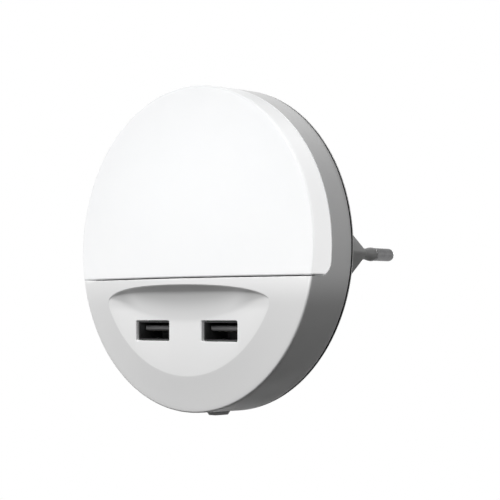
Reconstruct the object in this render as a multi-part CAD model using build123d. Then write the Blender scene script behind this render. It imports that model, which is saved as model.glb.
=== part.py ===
from build123d import *
import os
from math import cos, radians, sin, sqrt, tan

# Plug in night light with two charging ports.
# Frame: origin at the centre of the plug's engagement face, +Z up, pins along +Y, the lamp faces -Y.
# Left and right are as seen from the front: left is -X. All sizes are in millimetres.

# ---------------------------------------------------------------- driving dimensions
# Modelling allowances
cut_over = 1.0          # cuts run this far past the faces that they open
bite = 0.5              # what stands on a curved or rounded face starts this far inside it

# Round body
body_r = 46.5           # outer radius of the side wall
crown = 7.4             # height of the domed front above the corner it makes with the side wall
front_round = 1.8       # rounding between the dome and the side wall
side_depth = 15.3       # side wall, from that corner to the back plane
shell_wall = 2.0        # wall of the front shell
seam_z = -8.45          # middle of the seam between diffuser and front shell
seam_gap = 0.3          # seam and skirt gap between diffuser and front shell
seam_wall = 1.5         # wall of the front shell just under the seam
part_gap = 0.2          # parting line between front shell and rear cover

# Diffuser
diffuser_wall = 1.8
skirt_depth = 5.9       # how far the skirt runs back over the side wall, from the front corner
skirt_corner_r = 3.5    # rounded lower rear corner of the skirt
skirt_corner_in = 4.5   # the skirt corner is rounded only this near the side wall
hook_width = 6.0
hook_thick = 1.4
hook_barb = 0.8
hook_gap = 0.25
hook_set_in = 5.9       # the two upper hooks inside the side wall
hook_angle = 35.0       # their angle above the horizontal
hook_low_share = 0.47   # place of the two lower hooks, as a share of the body's radius
hook_low_z = -3.0

# Deck behind the diffuser, part of the front shell
deck_wall = 1.6
deck_lip = 3.0          # height of the ring that locates the diffuser
deck_lip_wall = 1.4
lip_gap = 0.2

# Recess with the two ports
floor_ahead = 3.0       # recess floor ahead of the front corner
recess_crest_z = -10.2  # crest of the recess at the middle
recess_blend_r = 5.5    # blend between the recess floor and its upper wall
recess_angle = 68.0     # angle of the upper wall to the floor
crest_round = 0.4
floor_wall = 2.0

# Ports, USB type A
port_x = 13.4           # distance of each port from the middle
port_z = -23.3
port_width = 13.8       # opening in the recess floor
port_height = 5.8
port_corner_r = 0.5
port_set_back = 0.85    # steel shell behind the floor's surface
port_shell_gap = 0.2    # steel shell inside the opening, all round
port_sheet = 0.3        # steel thickness
tongue_set_back = 3.0   # tongue tip behind the floor's surface
tongue_side_gap = 0.45
tongue_top_gap = 0.9
tongue_thick = 1.5
tongue_block = 3.2      # depth of the plastic block behind the tongue
contact_pitches = (-3.5, -1.0, 1.0, 3.5)
contact_width = 1.0
contact_thick = 0.15
contact_set_back = 0.8  # contact ends behind the tongue's tip
finger_width = 1.8      # sprung fingers cut in the top and bottom of the steel shell
finger_x = 3.0
finger_start = 3.2      # from the shell's mouth
finger_length = 5.0
finger_slit = 0.35

# Rear cover with the power supply hump
cover_edge = 0.6        # edge of the rear cover that shows on the side
cover_wall = 2.0
cover_spigot = 1.8      # height of the ring that locates the cover in the front shell
cover_spigot_wall = 1.2
cover_gap = 0.2
hump_depth = 25.1
hump_base_r = 25.0
hump_rear_r = 24.2
hump_rear_round = 4.0
hump_base_round = 2.5

# Mains plug
boss_depth = 20.0
boss_width = 28.8
boss_height = 13.7
boss_flat = 0.8         # small flat left at each end of the hexagon
boss_round = 0.5
boss_gap = 0.15         # hexagon in the hole of the rear cover
flange_rim = 2.2        # flange of the plug block inside the hump, beyond the hexagon
flange_thick = 2.0
pin_spacing = 19.0
pin_r = 2.0             # bare end of each pin
pin_length = 19.0
pin_shank_r = 1.2
pin_tail = 2.0          # shank inside the hump
sleeve_length = 10.0    # outside the boss
sleeve_seat = 2.0       # sleeve sunk in the boss
sleeve_waist_r = 1.7    # sleeve from the boss on
sleeve_collar_r = 2.1   # swelling just before the bare end
sleeve_end_r = 1.9
sleeve_waist = 5.8      # length of the waist
sleeve_collar = 8.4     # place of the swelling
strip_width = 3.2
strip_thick = 0.5
strip_eye_r = 2.9

# Boards
board_edge_gap = 2.5    # main board inside the side wall
board_thick = 1.6
board_set_back = 2.5    # front of the main board behind the deck
led_board_gap = 3.1     # lamp board inside the ring on the deck
led_board_low_z = -4.6
led_board_thick = 1.2
led_board_notch = 3.2   # notch of the lamp board round each hook, beyond the hook
led_size = (3.5, 2.8, 0.8)
led_dish_r = 1.1
led_radii = (28.6, 27.3, 12.0, 27.3, 28.6, 32.0)
led_angles = (25, 62, 90, 118, 155, 90)
header_z = 3.0
header_size = (5.6, 2.6)
header_pin = 0.64
header_pitch = 2.54
header_clear = 0.4      # slot in the deck round the link
header_pin_proud = 0.8  # pin ends beyond the lamp board

# Screws and bosses
case_screw_set_in = 7.5 # screw circle inside the inner wall
case_screw_angles = (90, 210, 330)
case_boss_r = 3.2
case_screw_length = 5.0
board_screw_set_in = (7.4, 7.4, 13.5)  # from the inner wall
board_screw_angles = (27, 153, 270)
board_boss_r = 2.7
board_screw_grip = 1.6  # thread in the boss
led_screw_grip = 2.4
led_screw_places = ((-20, 4), (20, 4))
led_boss_r = 2.2
screw_pilot_r = 1.25
screw_fit = 0.05        # screw shank inside its pilot hole
screw_head_r = 2.5
screw_clear = 0.25      # cover's hole beyond the pilot hole's radius
head_clear = 0.3        # counterbore round a screw's head
pilot_floor = 1.0       # left under a pilot hole
small_pilot_floor = 0.6
led_boss_gap = 0.6      # lamp board's bosses clear of the main board
hole_clear = 0.2        # board hole round a small screw
case_screw_head = 0.9
small_screw_r = 0.9
small_head_r = 1.7
small_head = 1.1
boss_clear = 0.35       # board hole round a boss that passes through it

# Slide switch under the rim
tab_set_back = 9.0      # middle of the tab behind the front corner
switch_travel = 3.0
knob_width = 2.6        # tab, across
knob_length = 6.8       # tab, front to back
knob_proud = 0.9        # tab beyond the side wall
knob_chamfer = 0.8
knob_flange_width = 9.5
knob_flange_length = 8.0
knob_flange = 0.7
knob_gap = 0.3
knob_room = 1.0         # gap in the cover's ring beyond the knob's travel
switch_width = 10.0
switch_height = 4.3
switch_depth = 3.9      # switch, from its steel plate to its inner end
lever_side = 1.6
lever_depth = 1.2       # lever inside the knob
foot_side = 3.4
foot_height = 1.6
foot_step = 0.3         # foot beyond the lever, front and back
foot_play = 0.1         # play of the foot in the switch
frame_sheet = 0.3
frame_ear = 2.5         # ears of the switch's steel plate

# Power supply parts on the rear of the main board
core_width = 16.0
core_length = 16.0
core_thick = 5.0
core_leg = 3.0
core_post = 4.0
bobbin_flange = 1.0
bobbin_tube = 0.6
bobbin_side = 13.0
winding_gap = 0.3
winding_round = 1.0
core_fit = 0.1          # bobbin round the core's post
can_r = 4.0
input_can_length = 14.0
output_can_length = 12.0
input_can_places = ((-5.5, 15.5), (5.5, 15.5))
output_can_place = (5.0, -15.5)
can_groove = 0.35       # depth of the crimp groove
can_crimp = 1.5         # place of the groove
lead_r = 0.35           # wire leads
disc_r = 4.0
disc_thick = 3.2
disc_stand = 1.5        # disc above the board
disc_place = (-5.0, -15.0)
fuse_r = 1.8
fuse_length = 10.0
fuse_stand = 0.8
fuse_place = (-16.5, 0.0)
bridge_size = (3.2, 8.0, 6.4)
bridge_place = (16.5, 0.0)
chip_size = (5.0, 4.0, 1.6)
chip_stand = 0.1
chip_leg = 0.4
chip_leg_pitch = 1.27
chip_leg_reach = 1.0
power_chip_place = (-14.0, 8.0)
usb_chip_place = (0.0, -14.0)

# ---------------------------------------------------------------- planes worked out from them
y_hump = -boss_depth                       # rear wall of the hump
y_back = y_hump - hump_depth               # back plane of the disc
y_corner = y_back - side_depth             # corner of dome and side wall
y_crown = y_corner - crown                 # foremost point
y_floor = y_corner - floor_ahead           # recess floor
y_skirt = y_corner + skirt_depth           # rear edge of the skirt
y_deck = y_skirt + seam_gap                # front of the deck
y_deck_rear = y_deck + deck_wall
y_board = y_deck_rear + board_set_back     # front of the main board
y_board_rear = y_board + board_thick
y_cover = y_back - cover_wall              # inside of the rear cover's plate
y_shell_rear = y_back - cover_edge - part_gap
y_flange = y_hump - cover_wall             # rear face of the plug block's flange
y_tail = y_flange - flange_thick           # front face of that flange
y_led_board = y_deck - led_board_thick
y_port = y_floor + port_set_back           # mouth of the steel shells
y_tab = y_corner + tab_set_back
y_switch = y_board - switch_height / 2     # middle of the switch and its lever

sphere_r = (body_r ** 2 + crown ** 2) / (2 * crown)
y_centre = y_crown + sphere_r
inner_r = body_r - shell_wall
skirt_corner_x = body_r - skirt_corner_in
hook_r = body_r - hook_set_in
hook_low_x = body_r * hook_low_share
lip_r = body_r - diffuser_wall - lip_gap   # ring on the deck
board_r = inner_r - board_edge_gap
led_board_r = lip_r - deck_lip_wall - led_board_gap
case_screw_r = inner_r - case_screw_set_in
seam_top_z = seam_z + seam_gap / 2         # lower face of the diffuser
seam_low_z = seam_z - seam_gap / 2         # upper face of the front shell's lower part
cover_fit_r = inner_r - cover_gap
port_inner_width = port_width - 2 * (port_shell_gap + port_sheet)
port_inner_height = port_height - 2 * (port_shell_gap + port_sheet)
knob_rest_x = switch_travel / 2
far = 2 * body_r


# ---------------------------------------------------------------- helpers
def block(x0, x1, y0, y1, z0, z1):
    """A box between two corners."""
    middle = Pos((x0 + x1) / 2, (y0 + y1) / 2, (z0 + z1) / 2)
    return middle * Box(abs(x1 - x0), abs(y1 - y0), abs(z1 - z0))


def rod(x, z, radius, y0, y1):
    """A round bar along Y."""
    return Pos(x, (y0 + y1) / 2, z) * Rot(90, 0, 0) * Cylinder(radius, abs(y1 - y0))


def bar(x, z, width, height, y0, y1):
    """A rectangular bar along Y, centred at x and z."""
    return Pos(x, (y0 + y1) / 2, z) * Box(width, abs(y1 - y0), height)


def prism_y(points, y0, y1):
    """A straight-sided outline of (x, z) points, drawn out along Y."""
    face = make_face(Polyline(*[(x, y0, z) for x, z in points], close=True))
    return extrude(face, amount=y1 - y0, dir=(0, 1, 0))


def prism_x(face, half_width):
    """A face in the YZ plane, drawn out to both sides."""
    return extrude(face, amount=half_width, both=True)


def lathe(edges):
    """A solid of revolution about Y, from edges in the XY plane where x is the radius."""
    return revolve(make_face(edges), axis=Axis.Y)


def rounded(face, point, radius):
    """The face with the corner at this point rounded."""
    corner = face.vertices().sort_by_distance((point[0], point[1], 0))[0]
    return fillet(corner, radius)


def dome_y(radius, depth=0.0):
    """Y of the dome at this distance from the axis, or of the surface this deep under it."""
    return y_centre - sqrt((sphere_r - depth) ** 2 - radius ** 2)


def dome_radius(y, depth):
    """Distance from the axis where the surface this deep under the dome crosses a plane of Y."""
    return sqrt((sphere_r - depth) ** 2 - (y_centre - y) ** 2)


def dome_arc(r0, r1, depth=0.0):
    """Arc of the dome's section between two radii."""
    middle = (r0 + r1) / 2
    return ThreePointArc(
        (r0, dome_y(r0, depth)),
        (middle, dome_y(middle, depth)),
        (r1, dome_y(r1, depth)),
    )


def domed_body(radius, depth, y_rear, edge_round):
    """Domed disc: a surface this deep under the dome, inside this radius, back to y_rear."""
    y_edge = dome_y(radius, depth)
    profile = make_face(
        dome_arc(0, radius, depth)
        + Polyline((radius, y_edge), (radius, y_rear), (0, y_rear), (0, dome_y(0, depth)))
    )
    return revolve(rounded(profile, (radius, y_edge), edge_round), axis=Axis.Y)


def above(z, y_rear):
    """Everything over a height and ahead of a plane."""
    return block(-far, far, y_crown - far, y_rear, z, z + far)


def corner_wedge(y, z, radius, x_from):
    """What rounding the corner of a skirt takes away, on both sides of the body."""
    profile = make_face(
        Line((0, y, z), (0, y, z + radius))
        + ThreePointArc(
            (0, y, z + radius),
            (0, y - radius * (1 - cos(radians(45))), z + radius * (1 - sin(radians(45)))),
            (0, y - radius, z),
        )
        + Line((0, y - radius, z), (0, y, z))
    )
    return prism_x(profile, far) - block(-x_from, x_from, y - far, y + far, z - far, z + far)


def on_circle(radius, angle):
    """X and Z of a point on a circle about Y."""
    return radius * cos(radians(angle)), radius * sin(radians(angle))


def case_screw_points():
    """X and Z of the screws of the rear cover."""
    return [on_circle(case_screw_r, angle) for angle in case_screw_angles]


def board_screw_points():
    """X and Z of the screws of the main board."""
    return [on_circle(inner_r - s, a) for s, a in zip(board_screw_set_in, board_screw_angles)]


def screw(x, z, y_seat, shank_r, shank_length, head_r, head, turned=1):
    """Pan head screw whose head stands on y_seat; turned is -1 when it goes in towards +Y."""
    y_top = y_seat + turned * head
    body = rod(x, z, head_r, y_seat, y_top) + rod(x, z, shank_r, y_seat, y_seat - turned * shank_length)
    y_slot = y_top - turned * head / 2
    long, narrow = head_r * 1.2, head_r * 0.32
    return body - bar(x, z, long, narrow, y_slot, y_top) - bar(x, z, narrow, long, y_slot, y_top)


# ---------------------------------------------------------------- hook places
def hook_frames():
    """Place and turn about Y of the four hooks: the barb points along the turned +X."""
    upper = [(*on_circle(hook_r, a), a) for a in (hook_angle, 180 - hook_angle)]
    lower = [(x, hook_low_z, 90) for x in (-hook_low_x, hook_low_x)]
    return upper + lower


def hook_leg(x, z, turn, y0, y1, grow=0.0, barb=0.0):
    """Upright leg of a hook, grown all round, with its barb on one side."""
    across = hook_thick + 2 * grow + barb
    leg = Pos(barb / 2, 0, 0) * Box(across, abs(y1 - y0), hook_width + 2 * grow)
    return Pos(x, (y0 + y1) / 2, z) * Rot(0, -turn, 0) * leg


def hook_slots():
    """Slots in the deck that the barbs pass through."""
    return [hook_leg(x, z, t, y_deck - cut_over, y_deck_rear + cut_over, hook_gap, hook_barb)
            for x, z, t in hook_frames()]


# ---------------------------------------------------------------- casing
def recess_profile():
    """Section of the recess: floor, blend and upper wall, open to the front."""
    y_crest = dome_y(abs(recess_crest_z))
    slope = radians(recess_angle)
    y_blend = y_floor - recess_blend_r * (1 - cos(slope))
    z_blend = recess_crest_z - (y_blend - y_crest) / tan(slope)
    z_floor_end = z_blend - recess_blend_r * sin(slope)
    half = slope / 2
    blend_middle = (y_floor - recess_blend_r * (1 - cos(half)), z_floor_end + recess_blend_r * sin(half))
    y_far = y_crest - crown
    z_far = recess_crest_z + crown / tan(slope)
    low_z = -body_r - cut_over
    start, end = (0, y_floor, z_floor_end), (0, y_blend, z_blend)
    return make_face(
        Polyline(end, (0, y_far, z_far), (0, y_far, low_z), (0, y_floor, low_z), start)
        + ThreePointArc(start, (0, *blend_middle), end)
    )


def port_prism(width, height, corner, x, y0, y1):
    """A rounded rectangle at a port, drawn out along Y."""
    plane = Plane((x, y0, port_z), x_dir=(1, 0, 0), z_dir=(0, 1, 0))
    return extrude(plane * RectangleRounded(width, height, corner), amount=y1 - y0)


def front_shell():
    """Domed front with the recess, side wall, deck behind the diffuser, bosses and switch slot."""
    outside = domed_body(body_r, 0, y_shell_rear, front_round)
    recess = prism_x(recess_profile(), far)
    shell = outside - recess
    crest = shell.edges().sort_by_distance((0, dome_y(abs(recess_crest_z)), recess_crest_z))[0]
    shell = fillet(crest, crest_round)
    shell -= above(seam_low_z, y_deck)
    wedge = corner_wedge(y_deck, seam_low_z, skirt_corner_r + seam_gap, skirt_corner_x + seam_gap)
    shell += wedge & outside
    # hollow behind the recess floor and behind the deck
    y_inside = y_floor + floor_wall
    r_flat = dome_radius(y_inside, shell_wall)
    lower = lathe(
        Line((0, y_inside), (r_flat, y_inside))
        + dome_arc(r_flat, inner_r, shell_wall)
        + Polyline((inner_r, dome_y(inner_r, shell_wall)), (inner_r, y_back), (0, y_back), (0, y_inside))
    )
    deep = seam_low_z - seam_wall
    shell -= lower & block(-far, far, y_crown, y_back, -far, deep)
    shell -= rod(0, 0, inner_r, y_deck_rear, y_back) - block(-far, far, y_crown, y_back, -far, deep - cut_over)
    # ring on the deck that locates the diffuser
    ring = rod(0, 0, lip_r, y_deck - deck_lip, y_deck) - rod(0, 0, lip_r - deck_lip_wall, y_crown, y_back)
    shell += ring & above(skirt_corner_r, y_deck)
    # bosses for the rear cover, the main board and the lamp board
    for x, z in case_screw_points():
        y_foot = y_deck_rear if z > seam_z else y_inside
        shell += rod(x, z, case_boss_r, y_foot - bite, y_cover)
        shell -= rod(x, z, screw_pilot_r, y_foot + pilot_floor, y_cover)
    for x, z in board_screw_points():
        y_foot = y_deck_rear if z > seam_z else y_inside
        shell += rod(x, z, board_boss_r, y_foot - bite, y_board)
        shell -= rod(x, z, small_screw_r + screw_fit, y_foot + small_pilot_floor, y_board)
    for x, z in led_screw_places:
        y_end = y_board - led_boss_gap
        shell += rod(x, z, led_boss_r, y_deck_rear - bite, y_end)
        shell -= rod(x, z, small_screw_r + screw_fit, y_deck, y_end - small_pilot_floor)
    # openings
    for slot in hook_slots():
        shell -= slot
    for side in (-1, 1):
        span = (y_floor - cut_over, y_inside + cut_over)
        shell -= port_prism(port_width, port_height, port_corner_r, side * port_x, *span)
    shell -= header_block(y_deck - cut_over, y_deck_rear + cut_over, header_clear)
    shell -= switch_slot()
    return shell


def switch_slot():
    """Slot under the rim that the tab slides in."""
    half_x = (switch_travel + knob_width) / 2 + knob_gap
    half_y = knob_length / 2 + knob_gap
    return block(-half_x, half_x, y_tab - half_y, y_tab + half_y, -body_r - cut_over, -inner_r + cut_over)


def diffuser():
    """Opal cap: domed front, skirt round the top, straight lower wall and four hooks."""
    outside = domed_body(body_r, 0, y_skirt, front_round) & above(seam_top_z, y_skirt)
    outside -= corner_wedge(y_skirt, seam_top_z, skirt_corner_r, skirt_corner_x)
    inside_r = body_r - diffuser_wall
    inside = domed_body(inside_r, diffuser_wall, y_skirt + cut_over, front_round / 2)
    cap = outside - (inside & above(seam_top_z + diffuser_wall, y_skirt + cut_over))
    for x, z, turn in hook_frames():
        y_root = dome_y(sqrt(x ** 2 + z ** 2) + hook_thick, diffuser_wall / 2)
        y_tip = y_deck_rear + hook_gap
        y_end = y_tip + hook_barb * 1.5
        cap += hook_leg(x, z, turn, y_root, y_end)
        cap += hook_leg(x, z, turn, y_tip, y_end, 0, hook_barb)
    return cap


def cover_profile():
    """Section of the rear cover: edge, spigot ring, plate and hump."""
    spigot_in = cover_fit_r - cover_spigot_wall
    hump_in_base = hump_base_r - cover_wall
    hump_in_rear = hump_rear_r - cover_wall
    y_edge = y_back - cover_edge
    outline = make_face(
        Polyline(
            (0, y_hump),
            (hump_rear_r, y_hump),
            (hump_base_r, y_back),
            (body_r, y_back),
            (body_r, y_edge),
            (cover_fit_r, y_edge),
            (cover_fit_r, y_cover - cover_spigot),
            (spigot_in, y_cover - cover_spigot),
            (spigot_in, y_cover),
            (hump_in_base, y_cover),
            (hump_in_rear, y_flange),
            (0, y_flange),
            close=True,
        )
    )
    outline = rounded(outline, (hump_rear_r, y_hump), hump_rear_round)
    outline = rounded(outline, (hump_in_rear, y_flange), hump_rear_round - cover_wall)
    outline = rounded(outline, (hump_base_r, y_back), hump_base_round)
    return rounded(outline, (body_r, y_back), cover_edge / 2)


def rear_cover():
    """Thin disc that closes the front shell, with the hump that carries the mains plug."""
    cover = revolve(cover_profile(), axis=Axis.Y)
    cover -= hexagon(boss_gap, y_flange - cut_over, y_hump + cut_over)
    for x, z in case_screw_points():
        cover -= rod(x, z, screw_pilot_r + screw_clear, y_cover - cut_over, y_back + cut_over)
        cover -= rod(x, z, screw_head_r + head_clear, y_back - cover_wall / 2, y_back + cut_over)
    half_x = (knob_flange_width + switch_travel) / 2 + knob_room
    z_ring = -sqrt((cover_fit_r - cover_spigot_wall) ** 2 - half_x ** 2)
    cover -= block(-half_x, half_x, y_cover - cover_spigot - cut_over, y_cover, -body_r, z_ring + cut_over)
    return cover


# ---------------------------------------------------------------- mains plug
def hexagon(grow, y0, y1):
    """Outline of the plug boss, grown all round."""
    half_x = boss_width / 2 + grow
    half_z = boss_height / 2 + grow
    flat = boss_flat / 2 + grow * tan(radians(22.5))
    slope = half_z - flat
    points = [
        (half_x, -flat),
        (half_x, flat),
        (half_x - slope, half_z),
        (slope - half_x, half_z),
        (-half_x, flat),
        (-half_x, -flat),
        (slope - half_x, -half_z),
        (half_x - slope, -half_z),
    ]
    return prism_y(points, y0, y1)


def plug_block():
    """Hexagonal boss that enters the socket, held by a flange inside the hump."""
    boss = hexagon(0, y_tail, 0)
    boss = fillet(boss.faces().sort_by(Axis.Y)[-1].edges(), boss_round)
    boss += hexagon(flange_rim, y_tail, y_flange)
    for side in (-1, 1):
        x = side * pin_spacing / 2
        boss -= rod(x, 0, pin_shank_r, y_tail - cut_over, cut_over)
        boss -= rod(x, 0, sleeve_waist_r, -sleeve_seat, cut_over)
    return boss


def plug_pin(side):
    """Mains pin: shank through the block and sleeve, bare round end."""
    x = side * pin_spacing / 2
    tip = rod(x, 0, pin_r, sleeve_length, pin_length)
    tip = fillet(tip.faces().sort_by(Axis.Y)[-1].edges(), pin_r * 0.9)
    return tip + rod(x, 0, pin_shank_r, y_tail - pin_tail, sleeve_length)


def pin_sleeve(side):
    """Insulating sleeve round the first part of a pin, sunk in the boss, swelling towards the bare end."""
    outline = (
        Polyline((pin_shank_r, -sleeve_seat), (sleeve_waist_r, -sleeve_seat), (sleeve_waist_r, sleeve_waist))
        + Spline(
            (sleeve_waist_r, sleeve_waist),
            (sleeve_collar_r, sleeve_collar),
            (sleeve_end_r, sleeve_length),
            tangents=((0, 1), (-1, 1)),
        )
        + Polyline((sleeve_end_r, sleeve_length), (pin_shank_r, sleeve_length), (pin_shank_r, -sleeve_seat))
    )
    return Pos(side * pin_spacing / 2, 0, 0) * lathe(outline)


def pin_contact(side):
    """Brass strip with an eye on the pin's tail, led to the main board."""
    x = side * pin_spacing / 2
    eye = rod(x, 0, strip_eye_r, y_tail - strip_thick, y_tail)
    x_strip = side * (pin_spacing / 2 + strip_eye_r - strip_thick / 2)
    strip = bar(x_strip, 0, strip_thick, strip_width, y_board_rear, y_tail)
    bridge = bar((x + x_strip) / 2, 0, abs(x_strip - x), strip_width, y_tail - strip_thick, y_tail)
    return eye + bridge + strip - rod(x, 0, pin_shank_r, y_tail - cut_over, y_tail + cut_over)


# ---------------------------------------------------------------- ports
def usb_shell(side):
    """Folded steel shell of a receptacle, with sprung fingers above and below."""
    x = side * port_x
    width = port_width - 2 * port_shell_gap
    height = port_height - 2 * port_shell_gap
    tube = port_prism(width, height, port_corner_r, x, y_port, y_board)
    span = (y_port - cut_over, y_board + cut_over)
    tube -= port_prism(port_inner_width, port_inner_height, port_corner_r / 2, x, *span)
    y0 = y_port + finger_start
    y1 = y0 + finger_length
    for x_finger in (x - finger_x, x + finger_x):
        slit = bar(x_finger, port_z, finger_width, 2 * height, y0, y1)
        keep = bar(x_finger, port_z, finger_width - 2 * finger_slit, 2 * height, y0 + finger_slit, y1)
        tube -= slit - keep
    return tube


def tongue_top():
    """Height of the tongue's upper face."""
    return port_z + port_inner_height / 2 - tongue_top_gap


def usb_tongue(side):
    """Dark plastic tongue and the block that closes the rear of the steel shell."""
    x = side * port_x
    y_block = y_board - tongue_block
    rear = port_prism(port_inner_width, port_inner_height, port_corner_r / 2, x, y_block, y_board)
    width = port_inner_width - 2 * tongue_side_gap
    z_mid = tongue_top() - tongue_thick / 2
    return rear + bar(x, z_mid, width, tongue_thick, y_floor + tongue_set_back, y_block)


def usb_contacts(side):
    """Four contact strips under the tongue."""
    z_mid = tongue_top() - tongue_thick - contact_thick / 2
    y0 = y_floor + tongue_set_back + contact_set_back
    y1 = y_board - tongue_block
    places = [side * port_x + pitch for pitch in contact_pitches]
    return Compound([bar(x, z_mid, contact_width, contact_thick, y0, y1) for x in places])


# ---------------------------------------------------------------- boards
def main_board():
    """Round board that the receptacles, the switch and the power supply stand on."""
    board = rod(0, 0, board_r, y_board, y_board_rear)
    span = (y_board - cut_over, y_board_rear + cut_over)
    for x, z in case_screw_points():
        board -= rod(x, z, case_boss_r + boss_clear, *span)
    for x, z in board_screw_points():
        board -= rod(x, z, small_screw_r + hole_clear, *span)
    return board


def header_block(y0, y1, grow):
    """Outline of the board-to-board link."""
    return bar(0, header_z, header_size[0] + 2 * grow, header_size[1] + 2 * grow, y0, y1)


def led_board():
    """White lamp board that lies on the deck."""
    board = rod(0, 0, led_board_r, y_led_board, y_deck) & above(led_board_low_z, y_deck)
    span = (y_led_board - cut_over, y_deck + cut_over)
    for x, z, turn in hook_frames():
        room = led_board_notch
        board -= Pos(x, y_deck, z) * Rot(0, -turn, 0) * Box(
            hook_thick + 2 * room, 4 * led_board_thick, hook_width + room
        )
    for x, z in led_screw_places:
        board -= rod(x, z, small_screw_r + hole_clear, *span)
    for x in (-header_pitch / 2, header_pitch / 2):
        board -= rod(x, header_z, header_pin * 0.75, *span)
    return board


def leds():
    """Surface-mounted lamps on the lamp board."""
    width, height, depth = led_size
    lamps = []
    for radius, angle in zip(led_radii, led_angles):
        x, z = on_circle(radius, angle)
        lamp = bar(x, z, width, height, y_led_board - depth, y_led_board)
        lamps.append(lamp - rod(x, z, led_dish_r, y_led_board - 2 * depth, y_led_board - depth * 0.7))
    return Compound(lamps)


def led_header_base():
    """Plastic base of the link, on the front of the main board."""
    base = header_block(y_deck, y_board, 0)
    for x in (-header_pitch / 2, header_pitch / 2):
        base -= header_pin_bar(x, y_deck - cut_over, y_board + cut_over)
    return base


def header_pin_bar(x, y0, y1):
    """Square pin of the link."""
    return bar(x, header_z, header_pin, header_pin, y0, y1)


def led_header_pins():
    """Two square pins of the link, through the lamp board."""
    places = (-header_pitch / 2, header_pitch / 2)
    return Compound([header_pin_bar(x, y_led_board - header_pin_proud, y_board) for x in places])


# ---------------------------------------------------------------- fasteners
def case_screws():
    """Screws that hold the rear cover."""
    y_seat = y_back - cover_wall / 2
    size = (screw_pilot_r - screw_fit, case_screw_length, screw_head_r, case_screw_head)
    return Compound([screw(x, z, y_seat, *size) for x, z in case_screw_points()])


def board_screws():
    """Screws that hold the main board."""
    shank = (small_screw_r, board_thick + board_screw_grip)
    places = board_screw_points()
    return Compound([screw(x, z, y_board_rear, *shank, small_head_r, small_head) for x, z in places])


def led_board_screws():
    """Screws that hold the lamp board."""
    shank = (small_screw_r, led_board_thick + led_screw_grip)
    size = (*shank, small_head_r, small_head, -1)
    return Compound([screw(x, z, y_led_board, *size) for x, z in led_screw_places])


# ---------------------------------------------------------------- slide switch
def knob_top_z():
    """Lower face of the knob's inner flange, just inside the side wall over the whole travel."""
    reach = (knob_flange_width + switch_travel) / 2
    return -sqrt(inner_r ** 2 - reach ** 2) + knob_gap


def switch_knob():
    """Tab under the rim with its flange inside the wall, and a socket for the lever."""
    z0 = knob_top_z()
    x = knob_rest_x
    half_x, half_y = knob_width / 2, knob_length / 2
    z_tip = -body_r - knob_proud
    tab = block(x - half_x, x + half_x, y_tab - half_y, y_tab + half_y, z_tip, z0 + knob_flange / 2)
    ends = tab.edges().filter_by(Axis.X).sort_by(Axis.Z)[:2]
    tab = chamfer(ends, knob_chamfer)
    wide, long = knob_flange_width / 2, knob_flange_length / 2
    flange = block(x - wide, x + wide, y_tab - long, y_tab + long, z0, z0 + knob_flange)
    socket = lever_side / 2 + foot_play / 2
    z_deep = z0 - lever_depth - foot_play
    hole = block(x - socket, x + socket, y_switch - socket, y_switch + socket, z_deep, z0 + cut_over)
    return tab + flange - hole


def switch_mouth_z():
    """Outer face of the switch, where the lever leaves it."""
    return knob_top_z() + knob_flange + knob_gap


def switch_slider():
    """Lever and foot of the switch, which carry the knob."""
    x = knob_rest_x
    z_mouth = switch_mouth_z() + frame_sheet
    half = lever_side / 2
    z_tip = knob_top_z() - lever_depth
    lever = block(x - half, x + half, y_switch - half, y_switch + half, z_tip, z_mouth + foot_height / 2)
    wide = foot_side / 2
    deep = half + foot_step
    z0 = z_mouth + foot_play
    return lever + block(x - wide, x + wide, y_switch - deep, y_switch + deep, z0, z0 + foot_height)


def switch_cavity():
    """Room for the foot over its travel."""
    half_x = (foot_side + switch_travel) / 2 + 2 * foot_play
    half_y = lever_side / 2 + foot_step + 2 * foot_play
    z_mouth = switch_mouth_z() + frame_sheet
    z1 = z_mouth + foot_height + 3 * foot_play
    return block(-half_x, half_x, y_switch - half_y, y_switch + half_y, z_mouth - cut_over, z1)


def switch_body():
    """Plastic body of the switch, on the front of the main board."""
    y0 = y_board - switch_height
    z_mouth = switch_mouth_z() + frame_sheet
    body = block(-switch_width / 2, switch_width / 2, y0, y_board, z_mouth, z_mouth + switch_depth)
    return body - switch_cavity()


def switch_frame():
    """Folded steel plate over the mouth of the switch, with the slot for the lever."""
    z0 = switch_mouth_z()
    y0 = y_board - switch_height
    plate = block(-switch_width / 2, switch_width / 2, y0, y_board, z0, z0 + frame_sheet)
    for side in (-1, 1):
        x = side * switch_width / 2
        plate += block(x, x + side * frame_sheet, y0, y_board, z0, z0 + frame_sheet + frame_ear)
    half_x = (switch_travel + lever_side) / 2 + 2 * foot_play
    half_y = lever_side / 2 + foot_play
    return plate - block(-half_x, half_x, y_switch - half_y, y_switch + half_y, z0 - cut_over, z0 + cut_over)


# ---------------------------------------------------------------- power supply
def core_half(y0, y1):
    """One half of the ferrite core: yoke, two legs and the centre post."""
    half_x, half_z = core_width / 2, core_thick / 2
    window_end = y1 - core_leg if y1 > y0 else y1 + core_leg
    half = block(-half_x, half_x, y0, y1, -half_z, half_z)
    for side in (-1, 1):
        half -= block(side * core_post / 2, side * (half_x - core_leg), y0, window_end, -far, far)
    return half


def core_middle():
    """Y of the joint between the two core halves."""
    return y_board_rear + core_length / 2 + bobbin_flange


def transformer_core_front():
    """Core half nearer the main board."""
    return core_half(core_middle(), core_middle() - core_length / 2)


def transformer_core_rear():
    """Core half nearer the mains plug."""
    return core_half(core_middle(), core_middle() + core_length / 2)


def winding_span():
    """Y of the inner faces of the bobbin's flanges."""
    reach = core_length / 2 - core_leg - bobbin_flange - core_fit
    return core_middle() - reach, core_middle() + reach


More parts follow.
